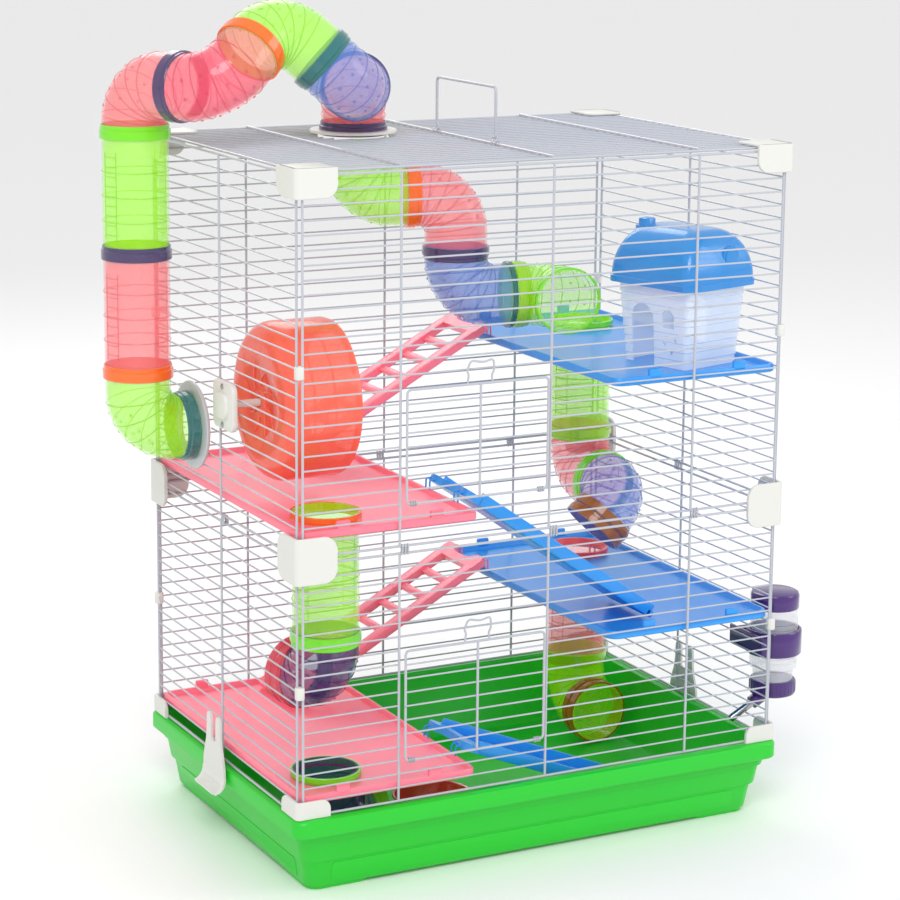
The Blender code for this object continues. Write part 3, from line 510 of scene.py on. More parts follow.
def corner_clips():
    """The clips at the seam between the tiers and at the roof, four of each."""
    for layer in ("middle", "top"):
        for corner in ("front_left", "front_right", "back_left", "back_right"):
            node = "clip_" + layer + "_" + corner
            low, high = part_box(node)
            side_x = -1 if "left" in corner else 1
            side_y = -1 if "front" in corner else 1
            curves = (0.0105, 0.0) if layer == "top" else (0.0110, 0.0110)
            shape = clip_shape(low, high, side_x, side_y, curves)
            if layer == "top":
                shape.soft_box((low.x + 0.0004, low.y + 0.0004, high.z - 0.0018),
                               (high.x - 0.0004, high.y - 0.0004, high.z), 0.0045, 0.0006)
            shape.done("moulded_" + node, OFF_WHITE, "cage_frame", node)


def clip_shape(low, high, side_x, side_y, curves, thick=0.0030):
    """A plate bent round a corner post. curves are how far its free ends are rounded, below and above."""
    corner = Vector((high.x if side_x > 0 else low.x, high.y if side_y > 0 else low.y, 0))
    wing = high.x - low.x
    turn = 0.0045
    reaches = [0.0110 * (1 - cos(pi / 2 * step / 7)) for step in range(8)] + [wing - turn]
    stations = [(corner - Vector((side_x * (wing - reach), 0, 0)), Vector((0, side_y, 0)), reach)
                for reach in reaches]
    for step in range(1, 6):
        angle = pi / 2 * step / 6
        out = Vector((side_x * sin(angle), side_y * cos(angle), 0))
        stations.append((corner - Vector((side_x, side_y, 0)) * turn + out * turn, out, wing))
    stations += [(corner - Vector((0, side_y * (wing - reach), 0)), Vector((side_x, 0, 0)), reach)
                 for reach in reversed(reaches)]
    soft = 0.0006
    rings = []
    for point, out, reach in stations:
        bottom = low.z + rounding(curves[0], reach)
        top = high.z - rounding(curves[1], reach)
        rings.append([point + out * shift + UP * height for shift, height in (
            (0, bottom + soft), (0, top - soft), (-soft, top), (soft - thick, top), (-thick, top - soft),
            (-thick, bottom + soft), (soft - thick, bottom), (-soft, bottom))])
    shape = Shape()
    shape.skin(rings)
    return shape


def rounding(curve, reach):
    """How far a rounded end draws back at a distance from its tip."""
    if reach >= curve:
        return 0.0
    return curve - sqrt(curve ** 2 - (curve - reach) ** 2)


def base_clips():
    """Short clips that hold the wire body's feet on the tray's rim."""
    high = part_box("tray")[1]
    for side_x in (-1, 1):
        for side_y in (-1, 1):
            corner = Vector((side_x * (CAGE_HALF_X + 0.0040), side_y * (CAGE_HALF_Y + 0.0040), 0))
            inner = corner - Vector((side_x * 0.030, side_y * 0.030, 0))
            box_low = Vector((min(corner.x, inner.x), min(corner.y, inner.y), high.z + 0.0002))
            box_high = Vector((max(corner.x, inner.x), max(corner.y, inner.y), high.z + 0.0150))
            side = ("right" if side_x > 0 else "left") + ("_back" if side_y > 0 else "_front")
            clip_shape(box_low, box_high, side_x, side_y, (0.0, 0.0070)).done(
                "base_clip_" + side, OFF_WHITE, "cage_frame")


# Tray and latches

def tray():
    """Stepped walls under an overhanging rim, with a foot at each corner."""
    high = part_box("tray")[1]
    rim = (high.x, high.y)
    top = high.z
    skirt = 0.052
    shape = Shape()

    def level(inset, height, corner=0.0115):
        return rounded_loop(rim[0] - inset, rim[1] - inset, corner, height, 8)

    outer = [level(0.0192, 0.0030), level(0.0182, 0.0042), level(0.0150, 0.0250), level(0.0147, 0.0262),
             level(0.0128, 0.0266), level(0.0122, 0.0280), level(0.0100, 0.0430), level(0.0098, 0.0440),
             level(0.0080, 0.0446), level(0.0076, 0.0458), level(0.0066, skirt),
             level(0.0008, skirt + 0.0002), level(0.0, skirt + 0.0012), level(0.0, top - 0.0028),
             level(0.0009, top - 0.0009), level(0.0028, top, 0.0105)]
    inner = [level(0.0100, top, 0.0090), level(0.0118, top - 0.0012, 0.0085),
             level(0.0122, top - 0.004, 0.0085), level(0.0200, 0.0085, 0.0080),
             level(0.0235, 0.0048, 0.0075), level(0.0260, 0.0045, 0.0070)]
    shape.skin(outer + inner)
    reach_x = rim[0] - 0.0205
    reach_y = rim[1] - 0.0205
    foot = 0.055
    for side_x in (-1, 1):
        for side_y in (-1, 1):
            centre_x = side_x * (reach_x - foot / 2)
            centre_y = side_y * (reach_y - foot / 2)
            shape.soft_box((centre_x - foot / 2, centre_y - foot / 2, 0.0),
                           (centre_x + foot / 2, centre_y + foot / 2, 0.0036), 0.010, 0.0008)
    shape.done("tray_moulding", GREEN, "tray", "tray")


def tray_panels():
    """Raised panels on the middle stretch of each wall, between the corners."""
    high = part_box("tray")[1]
    shape = Shape()
    slope = atan2(0.0085, 0.040)
    for angle, reach, half in ((0, high.y, high.x - 0.038), (pi, high.y, high.x - 0.038),
                               (pi / 2, high.x, high.y - 0.038), (-pi / 2, high.x, high.y - 0.038)):
        turn = Matrix.Rotation(angle, 4, "Z")
        lean = Matrix.Rotation(pi / 2 + slope * 0.72, 4, "X")
        place = turn @ (Matrix.Translation((0, -(reach - 0.0172), 0.0150)) @ lean)
        shape.soft_box((-half, -0.0085, -0.0004), (half, 0.0085, 0.0012), 0.004, 0.0006, place)
    shape.done("tray_wall_panels", GREEN, "tray")


def latch(side):
    """A flap with two prongs round a slot, and a ridged foot that curls out over the rim."""
    node = "latch_" + ("left" if side < 0 else "right")
    low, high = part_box(node)
    shape = Shape()
    face = side * 0.2345
    half = (high.y - low.y) / 2
    edge = [(half * 0.95, 0.0600), (half * 0.93, 0.0680), (half * 0.82, 0.0770), (half * 0.68, 0.0850),
            (half * 0.62, 0.0940), (half * 0.60, high.z - 0.0050), (half * 0.53, high.z - 0.0012),
            (half * 0.40, high.z), (half * 0.28, high.z - 0.0014), (half * 0.22, high.z - 0.0060),
            (half * 0.20, 0.0885), (half * 0.10, 0.0868)]
    outline = edge + [(-across, height) for across, height in reversed(edge)]
    shape.skin([[Vector((face + out, across, height)) for across, height in outline]
                for out in (-0.0010, 0.0010)])
    curl = []
    for step in range(7):
        angle = pi / 2 * step / 6
        curl.append((face + side * (0.0010 + 0.0085 * (1 - cos(angle))), 0.0600 - 0.0125 * sin(angle)))
    rings = []
    for out, height in curl:
        rings.append([Vector((out, -half, height)), Vector((out, half, height)),
                      Vector((out - side * 0.0018, half, height + 0.0004)),
                      Vector((out - side * 0.0018, -half, height + 0.0004))])
    shape.skin(rings)
    for ridge in range(5):
        out, height = curl[ridge + 2]
        shape.wire([(out + side * 0.0002, across, height) for across in (-half * 0.8, half * 0.8)], 0.0006, 6)
    shape.done("moulded_" + node, OFF_WHITE, node, node)


# Platforms and ladders

def platform(node, port, material):
    """A shallow plate with a rounded lip and a port hole. Its hook tabs are added by platform_tabs."""
    low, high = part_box(node)
    middle = ((low.x + high.x) / 2, (low.y + high.y) / 2)
    half = ((high.x - low.x) / 2, (high.y - low.y) / 2)
    floor = low.z + 0.0025
    shape = Shape()

    def level(inset, height, corner):
        return rounded_loop(half[0] - inset, half[1] - inset, corner, height, 6, middle)

    shape.skin([level(0.0008, low.z, 0.009), level(0, low.z + 0.0008, 0.009),
                level(0, high.z - 0.0014, 0.009), level(0.0007, high.z - 0.0003, 0.0085),
                level(0.0020, high.z, 0.0075), level(0.0032, high.z - 0.0003, 0.0065),
                level(0.0038, high.z - 0.0014, 0.006), level(0.0048, floor + 0.0003, 0.005),
                level(0.0060, floor, 0.004)])
    hole = Shape()
    hole.turned([(0, -0.02), (TUBE_RADIUS + 0.0007, -0.02), (TUBE_RADIUS + 0.0007, 0.02), (0, 0.02)],
                (*port, floor), UP, 40)
    mesh = cut_mesh(mesh_of(shape, node), [hole])
    placed("moulded_" + node, mesh, material, "cage_frame", node)


def platform_tabs():
    """Hooks that hold the platforms on the panels' rows."""
    for node, material in (("platform_upper_right", BLUE), ("platform_middle_left", PINK),
                           ("platform_middle_right", BLUE), ("platform_lower_left", PINK)):
        low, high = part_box(node)
        shape = Shape()
        for end in (-1, 1):
            edge = low.y if end < 0 else high.y
            near, far = sorted((edge, edge - end * 0.004))
            for at in (0.24, 0.76):
                centre = low.x + (high.x - low.x) * at
                shape.soft_box((centre - 0.0060, near, high.z - 0.0030),
                               (centre + 0.0060, far, high.z + 0.0058), 0.0014, 0.0012)
        shape.done("tabs_" + node, material, "cage_frame")


LADDERS = {
    "ladder_upper": ((0.0622, 0.1010, 0.4105), -1, 0.4105 - 0.2985 - 0.0030, PINK, 8),
    "ramp_middle": ((-0.0622, -0.0880, 0.3115), 1, 0.3115 - 0.1800 - 0.0030, BLUE, 0),
    "ladder_lower": ((0.0622, 0.1010, 0.1930), -1, 0.1930 - 0.0805 - 0.0030, PINK, 8),
    "ramp_lower": ((-0.0622, -0.0880, 0.0935), 1, 0.0935 - 0.0045 - 0.0030, BLUE, 0),
}
LADDER_LENGTH = 0.2250
LADDER_HALF = 0.0350
RAIL = 0.0125
PLATE = 0.0175


def ladder_head():
    """The plate at a ladder's top, seen from above: two lugs with a hollow between them."""
    half = LADDER_HALF
    lug = [(0.0065, 0.0), (0.0035, 0.0012), (0.0019, 0.0035), (0.0014, 0.0065), (0.0014, 0.0120),
           (0.0026, 0.0150), (0.0052, 0.0172), (0.0076, 0.0205), (0.0086, 0.0270)]
    outline = [(PLATE, -half)] + [(along, across - half) for along, across in lug] + [(0.0089, 0.0)]
    return outline + [(along, -across) for along, across in reversed(outline[:-1])]


def ladder(name):
    """Rails and rungs, or a solid ramp with raised edges. Thin legs below two lugs hang it on a platform."""
    hinge, direction, drop, material, rungs = LADDERS[name]
    slope = atan2(drop, sqrt(LADDER_LENGTH ** 2 - drop ** 2))
    level = Matrix.Translation(hinge) @ Matrix.Rotation(0 if direction > 0 else pi, 4, "Z")
    place = level @ Matrix.Rotation(slope, 4, "Y")
    shape = Shape()
    shape.skin([[place @ Vector((along, across, height)) for along, across in ladder_head()]
                for height in (-0.0018, 0.0046)])
    shape.soft_box((LADDER_LENGTH - 0.0120, -LADDER_HALF, -0.0020), (LADDER_LENGTH, LADDER_HALF, 0.0040),
                   0.0040, 0.0008, place)
    wide, rail_top = (RAIL, 0.0050) if rungs else (0.0036, 0.0090)
    for side in (-1, 1):
        rail_low = -LADDER_HALF if side < 0 else LADDER_HALF - wide
        shape.soft_box((PLATE - 0.0020, rail_low, -0.0020),
                       (LADDER_LENGTH - 0.0040, rail_low + wide, rail_top), 0.0016, 0.0008, place)
        for leg in (-0.0035, 0.0035):
            across = side * (LADDER_HALF - 0.0095) + leg
            hook = [(0.0045, across, -0.0006), (-0.0030, across, -0.0002), (-0.0034, across, -0.0108)]
            shape.wire([level @ Vector(point) for point in rounded_path(hook, 0.0020, 3)], 0.0008, 8)
    if rungs:
        ladder_rungs(shape, place, rungs)
    else:
        ramp_treads(shape, place)
    shape.done("moulded_" + name, material, name, name)


def ladder_rungs(shape, place, rungs):
    """Evenly spaced bars between the two rails of an open ladder."""
    first = PLATE - 0.0035
    pitch = (LADDER_LENGTH - 0.0085 - first) / rungs
    for index in range(1, rungs):
        at = first + pitch * index
        shape.soft_box((at - 0.0035, -LADDER_HALF + RAIL - 0.002, -0.0016),
                       (at + 0.0035, LADDER_HALF - RAIL + 0.002, 0.0030), 0.0012, 0.0010, place)


def ramp_treads(shape, place):
    """A ramp's solid floor and the low ribs across it."""
    shape.soft_box((PLATE - 0.0020, -LADDER_HALF + 0.001, -0.0020),
                   (LADDER_LENGTH - 0.001, LADDER_HALF - 0.001, 0.0002), 0.0030, 0.0005, place)
    for index in range(12):
        at = 0.0260 + index * 0.0155
        shape.soft_box((at - 0.0010, -LADDER_HALF + 0.006, -0.0005),
                       (at + 0.0010, LADDER_HALF - 0.006, 0.0014), 0.0008, 0.0005, place)


# Tubes

def heading(degrees):
    """A level unit vector, measured from +Y towards +X."""
    return Vector((sin(radians(degrees)), cos(radians(degrees)), 0))


SIDE_PORT = Vector((-0.2330, 0.0540, 0.3500))
FIRST_HEADING = heading(153)
LAST_HEADING = heading(22.7)
DROP_ANGLE = radians(131.4)
DOWNWARD_HEADING = cos(DROP_ANGLE) * UP + sin(DROP_ANGLE) * LAST_HEADING.cross(UP)
RISING_HEADING = FIRST_HEADING.cross(DOWNWARD_HEADING).normalized()
RIGHT_PORT = Vector((0.1770, 0.1020, 0))
LEFT_PORT = Vector((-0.1770, -0.1000, 0))


def outer_joints():
    """(place, direction of travel) at each joint of the outer run."""
    corner = SIDE_PORT - X_AXIS * LEG
    joints = [(SIDE_PORT, -X_AXIS), (corner + UP * LEG, UP), (corner + UP * (LEG + TUBE_PITCH), UP),
              (corner + UP * (LEG + 2 * TUBE_PITCH), UP)]
    for direction in (FIRST_HEADING, RISING_HEADING, DOWNWARD_HEADING, LAST_HEADING, -UP):
        place, travel = joints[-1]
        joints.append((place + travel * LEG + direction * LEG, direction))
    return joints


OUTER = outer_joints()
ROOF_PORT = Vector((OUTER[-1][0].x, OUTER[-1][0].y, ROOF_Z))


def bend_path(start, inward, outward, leg_in, leg_out):
    """The centre line of an elbow, its corner, and the arc's centre and radius."""
    corner = start + inward * leg_in
    radius = min(leg_in, leg_out) - 0.0120
    centre = corner - inward * radius + outward * radius
    path = [start + inward * 0.0002]
    for step in range(15):
        angle = pi / 2 * step / 14
        path.append(centre - outward * radius * cos(angle) + inward * radius * sin(angle))
    path.append(corner + outward * (leg_out - 0.0002))
    return path, centre, radius


def ring_band(place, direction, colour, body, name, tall=0.0118, offset=0.0):
    """A glossy two-step collar ring round a joint, reaching along a direction from it."""
    shape = Shape()
    inner = RIB_RADIUS
    step = tall * 0.66
    profile = [(inner, 0.0002), (RING_RADIUS - 0.0004, 0.0002), (RING_RADIUS, 0.0007), (RING_RADIUS, step),
               (RING_RADIUS - 0.0004, step + 0.0004), (RING_RADIUS - 0.0009, step + 0.0007),
               (RING_RADIUS - 0.0009, tall - 0.0006), (RING_RADIUS - 0.0013, tall - 0.0001), (inner, tall)]
    shape.turned(profile, place + direction * offset, direction, 48, closed=True)
    shape.done("ring_" + name, RINGS[colour], body)


def mouth(end, leaving, colour, body):
    """The two rings of an open end, one behind the other."""
    ring_band(end, -leaving, colour, body, body + "_mouth", 0.0098)
    ring_band(end, -leaving, colour, body, body + "_mouth_back", 0.0088, 0.0104)


def elbow(name, start, inward, outward, colour, body="cage_frame", leg_in=LEG, leg_out=LEG):
    """A bent tube with ribs round it and rows of small bumps. Gives back where it ends."""
    path, centre, radius = bend_path(start, inward, outward, leg_in, leg_out)
    shape = Shape()
    shape.pipe(path, TUBE_RADIUS, TUBE_WALL)
    shape.done("moulded_" + name, TUBES[colour], body, name)
    ribs = Shape()
    across = inward.cross(outward)
    for step in range(5):
        angle = pi / 2 * (step + 0.5) / 5
        out = -outward * cos(angle) + inward * sin(angle)
        middle = centre + out * radius
        ribs.wire(round_ring(middle, out, across, RIB_RADIUS, 40), 0.00050, 6, closed=True)
        if step == 4:
            continue
        turn = angle + pi / 20
        out = -outward * cos(turn) + inward * sin(turn)
        for lean in (-50, -17, 17, 50):
            normal = out * cos(radians(lean)) + across * sin(radians(lean))
            ribs.ball(centre + out * radius + normal * TUBE_RADIUS, 0.0015, 0.5, normal)
    ribs.done("ribs_" + name, RIBS[colour], body)
    return start + inward * leg_in + outward * leg_out


def straight_tube(name, start, direction, colour, body="cage_frame"):
    """A straight tube with hoops and two ladder-like strips. Gives back where it ends."""
    shape = Shape()
    path = [start + direction * (0.0002 + step / 4 * (TUBE_PITCH - 0.0004)) for step in range(5)]
    shape.pipe(path, TUBE_RADIUS, TUBE_WALL)
    shape.done("moulded_" + name, TUBES[colour], body, name)
    ribs = Shape()
    side, other = normals_of(direction)
    for step in range(1, 4):
        middle = start + direction * (0.012 + step * 0.0205)
        ribs.wire(round_ring(middle, side, other, RIB_RADIUS, 40), 0.00050, 6, closed=True)
    for facing_angle in (200, 20):
        for edge in (-14, 14):
            angle = radians(facing_angle + edge)
            out = X_AXIS * cos(angle) + Y_AXIS * sin(angle)
            ribs.wire([start + direction * along + out * TUBE_RADIUS for along in (0.018, 0.090)], 0.00045, 6)
        for step in range(9):
            height = 0.022 + step * 0.008
            arc = []
            for part in range(5):
                angle = radians(facing_angle - 14 + 28 * part / 4)
                arc.append(start + direction * height + (X_AXIS * cos(angle) + Y_AXIS * sin(angle))
                           * TUBE_RADIUS)
            ribs.wire(arc, 0.00045, 6)
    ribs.done("ribs_" + name, RIBS[colour], body)
    return start + direction * TUBE_PITCH


def outer_run():
    """From the side port up and over to the roof port, with a ring at every joint."""
    names = ("port_elbow", "riser_lower", "riser_upper", "outer_elbow_first", "outer_elbow_second",
             "outer_elbow_third", "outer_elbow_fourth", "outer_elbow_roof")
    colours = ("green", "pink", "green", "pink", "rose", "green", "blue", "pink")
    rings = ("teal", "orange", "purple", "green", "purple", "orange", "teal", "purple")
    for name, colour, ring, (start, travel), following in zip(names, colours, rings, OUTER, OUTER[1:]):
        if name.startswith("riser"):
            straight_tube(name, start, travel, colour)
        else:
            elbow(name, start, travel, following[1], colour)
        ring_band(start, travel, ring, "cage_frame", name)
    ring_band(OUTER[-1][0], UP, "purple", "cage_frame", "roof_port")


def flanges():
    """The round plates on the side port and on the roof port."""
    side = Shape()
    low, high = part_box("side_port_flange")
    place = Vector((high.x, SIDE_PORT.y, SIDE_PORT.z))
    thick = high.x - low.x
    side.turned([(TUBE_RADIUS - 0.002, 0), (0.0368, 0), (0.0375, 0.0007), (0.0375, thick - 0.0012),
                 (0.0366, thick - 0.0003), (0.0340, thick), (TUBE_RADIUS - 0.002, thick)], place, -X_AXIS, 56,
                closed=True)
    side.done("moulded_side_port_flange", FLANGE, "cage_frame", "side_port_flange")
    roof = Shape()
    roof.turned([(TUBE_RADIUS - 0.001, 0), (0.0368, 0), (0.0375, 0.0006), (0.0375, 0.0019), (0.0368, 0.0025),
                 (TUBE_RADIUS - 0.001, 0.0025)], ROOF_PORT + UP * 0.0034, UP, 56, closed=True)
    roof.done("roof_port_flange", OFF_WHITE, "cage_frame")


def inner_run():
    """From the roof port down to the upper platform."""
    start = Vector((ROOF_PORT.x, ROOF_PORT.y, ROOF_Z - 0.0060))
    first = heading(109)
    second = heading(104)
    ring_band(start, -UP, "green", "cage_frame", "inner_elbow_first")
    place = elbow("inner_elbow_first", start, -UP, first, "green")
    ring_band(place, first, "orange", "cage_frame", "inner_elbow_second")
    place = elbow("inner_elbow_second", place, first, -UP, "pink")
    ring_band(place, -UP, "purple", "cage_frame", "inner_elbow_third")
    place = elbow("inner_elbow_third", place, -UP, second, "blue")
    ring_band(place, second, "teal", "exit_elbow_upper", "exit_elbow_upper", 0.0050)
    ring_band(place, second, "lime", "exit_elbow_upper", "exit_elbow_upper_back", 0.0130, 0.0054)
    end = elbow("exit_elbow_upper", place, second, heading(194), "green", "exit_elbow_upper")
    ring_band(end, -heading(194), "green", "exit_elbow_upper", "exit_elbow_upper_mouth", 0.0060)


def right_run():
    """From the upper right platform to the middle one, and from there to the tray."""
    turn = heading(183)
    tilt = radians(45)
    leaving = -UP * cos(tilt) + turn.cross(UP) * sin(tilt)
    start = RIGHT_PORT + UP * (0.3975 + SEAT)
    ring_band(start, -UP, "green", "cage_frame", "right_drop_upper", SEAT)
    place = straight_tube("right_drop_upper", start, -UP, "green")
    ring_band(place, -UP, "lime", "cage_frame", "right_elbow_upper")
    place = elbow("right_elbow_upper", place, -UP, turn, "pink")
    ring_band(place, turn, "green", "exit_elbow_middle", "exit_elbow_middle")
    end = elbow("exit_elbow_middle", place, turn, leaving, "blue", "exit_elbow_middle")
    mouth(end, leaving, "amber", "exit_elbow_middle")
    start = RIGHT_PORT + UP * (0.1800 + SEAT)
    ring_band(start, -UP, "pink", "cage_frame", "right_drop_lower", SEAT)
    place = straight_tube("right_drop_lower", start, -UP, "pink")
    ring_band(place, -UP, "lime", "exit_elbow_lower", "exit_elbow_lower")
    end = elbow("exit_elbow_lower", place, -UP, heading(180), "green", "exit_elbow_lower", EXIT_LEG)
    mouth(end, heading(180), "amber", "exit_elbow_lower")


def left_run():
    """From the middle left platform to the lower one, and from there under it."""
    start = LEFT_PORT + UP * (0.2985 + SEAT)
    ring_band(start, -UP, "orange", "cage_frame", "left_drop", SEAT)
    place = straight_tube("left_drop", start, -UP, "green")
    ring_band(place, -UP, "green", "exit_elbow_left", "exit_elbow_left")
    end = elbow("exit_elbow_left", place, -UP, heading(-13), "purple", "exit_elbow_left")
    mouth(end, heading(-13), "pink", "exit_elbow_left")
    start = LEFT_PORT + UP * (0.0805 + SEAT)
    ring_band(start, -UP, "green", "burrow_elbow", "burrow_elbow", SEAT)
    end = elbow("burrow_elbow", start, -UP, heading(92), "purple", "burrow_elbow", LOW_LEG, 0.0470)
    ring_band(end, -heading(92), "green", "burrow_elbow", "burrow_elbow_mouth")


# Wheel and bracket

def wheel():
    """A closed drum with hoops, raised arms and an open mouth towards the middle of the cage."""
    low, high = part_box("wheel")
    radius = (high.y - low.y) / 2
    depth = high.x - low.x
    centre = Vector((high.x, (low.y + high.y) / 2, (low.z + high.z) / 2))
    wall = 0.0018
    outer = [(radius - 0.0110, 0.0), (radius - 0.0045, 0.0006), (radius - 0.0012, 0.0022), (radius, 0.0060),
             (radius, depth - 0.016)]
    for step in range(1, 9):
        angle = pi / 2 * step / 8
        outer.append((radius - 0.016 + 0.016 * cos(angle), depth - 0.016 + 0.016 * sin(angle)))
    outer += [(0.030, depth), (0.028, depth - 0.0015), (0.0110, depth - 0.0015), (0.0100, depth),
              (0.0045, depth)]
    inner = [(0.0045, depth - 0.004)] + [(max(reach - wall, 0.0046), min(along, depth - 0.004) + 0.0002)
                                         for reach, along in outer[-6:0:-1]] + [(radius - 0.0110, 0.0018)]
    drum = Shape()
    drum.turned(outer + inner, centre, -X_AXIS, 64, closed=True)
    drum.done("wheel_drum", CORAL, "wheel", "wheel")
    trim = Shape()
    for at in (0.0075, 0.0260, 0.0445):
        hoop = round_ring(centre - X_AXIS * at, Y_AXIS, UP, radius - 0.0008, 64)
        trim.wire(hoop, 0.0008, 6, closed=True)
    for step in range(16):
        angle = 2 * pi * step / 16
        out = Vector((0, cos(angle), sin(angle)))
        trim.wire([centre + out * (radius - 0.0026) - X_AXIS * 0.004,
                   centre + out * (radius - 0.0026) - X_AXIS * (depth - 0.016)], 0.0009, 6)
    for step in range(8):
        arm = []
        for part in range(9):
            angle = 2 * pi * step / 8 + part * 0.11
            reach = 0.0130 + (radius - 0.0330) * part / 8
            arm.append(centre + Vector((0, cos(angle), sin(angle))) * reach - X_AXIS * (depth - 0.0006))
        trim.wire(arm, 0.0010, 6)
    trim.done("wheel_treads", CORAL_DENSE, "wheel")


def wheel_bracket():
    """The plate that holds the wheel's axle on the wires."""
    low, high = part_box("wheel_bracket")
    centre_y = (low.y + high.y) / 2
    centre_z = (low.z + high.z) / 2
    face = low.x + 0.0080
    shape = Shape()
    stand = Matrix.Translation((0, centre_y, centre_z)) @ Matrix.Rotation(pi / 2, 4, "Y")
    shape.soft_box((-0.0200, -0.0210, low.x + 0.0030), (0.0200, 0.0210, face), 0.0070, 0.0012, stand, 8)
    shape.soft_box((-0.0110, -0.0130, low.x), (0.0110, 0.0130, face - 0.0010), 0.0090, 0.0014, stand, 8)
    shape.turned([(0, 0), (0.0032, 0), (0.0032, high.x - face), (0, high.x - face + 0.0003)],
                 (face - 0.001, centre_y, centre_z), X_AXIS, 20)
    shape.done("moulded_wheel_bracket", OFF_WHITE, "cage_frame", "wheel_bracket")
    screws = Shape()
    for up in (-1, 1):
        screws.ball(Vector((low.x + 0.0028, centre_y, centre_z + up * 0.0160)), 0.0026, 0.45, -X_AXIS, 16)
    screws.done("bracket_screws", STEEL, "cage_frame")


# House

HOUSE_CENTRE = (0.1670, -0.0850)
HOUSE_TURN = radians(15)
HOUSE_BASE = (0.0330, 0.0360)
HOUSE_TOP = (0.0370, 0.0420)
HOUSE_TALL = 0.0680


def house_place():
    """Where the house stands, turned a little."""
    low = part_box("house_walls")[0]
    return Matrix.Translation((*HOUSE_CENTRE, low.z)) @ Matrix.Rotation(HOUSE_TURN, 4, "Z")


def arch_outline(centre, low, high, half):
    """(along, height) points of a doorway: upright sides and a round top."""
    outline = [(centre - half, low), (centre + half, low)]
    for step in range(13):
        angle = pi * step / 12
        outline.append((centre + half * cos(angle), high - half + half * sin(angle)))
    return outline


def arch_cutter(centre_y, low, high, half, reach_x):
    """A doorway-shaped bar along X."""
    shape = Shape()
    shape.skin([[Vector((x, y, z)) for y, z in arch_outline(centre_y, low, high, half)] for x in reach_x])
    return shape


def house_walls():
    """Thin tapered walls with boards on the long sides, a doorway at each end and small round lights."""
    wall = 0.0016
    shape = Shape()

    def level(inset, height):
        share = height / HOUSE_TALL
        half_x = HOUSE_BASE[0] + (HOUSE_TOP[0] - HOUSE_BASE[0]) * share - inset
        half_y = HOUSE_BASE[1] + (HOUSE_TOP[1] - HOUSE_BASE[1]) * share - inset
        return rounded_loop(half_x, half_y, 0.0045, height, 5)

    outer = []
    boards = 9
    for board in range(boards):
        bottom = HOUSE_TALL * board / boards
        outer += [level(0.0, bottom), level(0.0008, bottom + HOUSE_TALL / boards - 0.0008)]
    inner = [level(wall + 0.0008, HOUSE_TALL * step / 4) for step in range(4, -1, -1)]
    shape.skin(outer + inner, wrap=True)
    cutters = [arch_cutter(0.0125, -0.001, 0.0520, 0.0128, (-0.06, 0.06)),
               arch_cutter(-0.0170, 0.0340, 0.0500, 0.0068, (-0.06, -0.02))]
    for at_y, at_z in ((-0.0250, 0.0240), (-0.0120, 0.0200), (-0.0200, 0.0130)):
        light = Shape()
        light.turned([(0, -0.06), (0.0017, -0.06), (0.0017, -0.02), (0, -0.02)], (0, at_y, at_z), X_AXIS, 10)
        cutters.append(light)
    mesh = cut_mesh(mesh_of(shape, "house_walls"), cutters)
    mesh.transform(house_place())
    placed("moulded_house_walls", mesh, MILKY, "cage_frame", "house_walls")


def house_roof():
    """A glossy domed lid with a short skirt, a chimney at the back and an arched dormer on one slope."""
    low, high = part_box("house_roof")
    half_x, half_y = 0.0440, 0.0490
    rise = high.z - low.z - 0.0045
    base = low.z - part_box("house_walls")[0].z
    shape = Shape()
    outer = [rounded_loop(half_x, half_y, 0.010, height, 8) for height in (base, base + 0.0050)]
    for step in range(13):
        angle = pi / 2 * step / 12
        shrink = 1 - cos(angle)
        outer.append(rounded_loop((half_x - 0.0008) * (1 - 0.70 * shrink),
                                  (half_y - 0.0008) * (1 - 0.42 * shrink), 0.0100 + 0.0040 * shrink,
                                  base + 0.0058 + (rise - 0.0064) * sin(angle), 8))
    shape.skin([rounded_loop(half_x - 0.0030, half_y - 0.0030, 0.008, base, 8)] + outer)
    shape.soft_box((-0.0200, 0.0235, base + 0.030), (-0.0080, 0.0355, high.z - low.z + base + 0.0002),
                   0.0030, 0.0015)
    shape.soft_box((-0.0220, 0.0215, base + rise - 0.0070), (-0.0060, 0.0375, base + rise - 0.0015),
                   0.0036, 0.0010)
    for half, front in ((0.0095, 0.0462), (0.0068, 0.0468)):
        arch = arch_outline(0.010, base + 0.012, base + 0.026 + half, half)
        shape.skin([[Vector((x, y, z)) for x, z in arch] for y in (-0.0300, -front)])
    mesh = mesh_of(shape, "house_roof")
    mesh.transform(house_place())
    placed("moulded_house_roof", mesh, ROOF_BLUE, "house_roof", "house_roof")


# Water bottle and bowl

BOTTLE_RADIUS = 0.0215


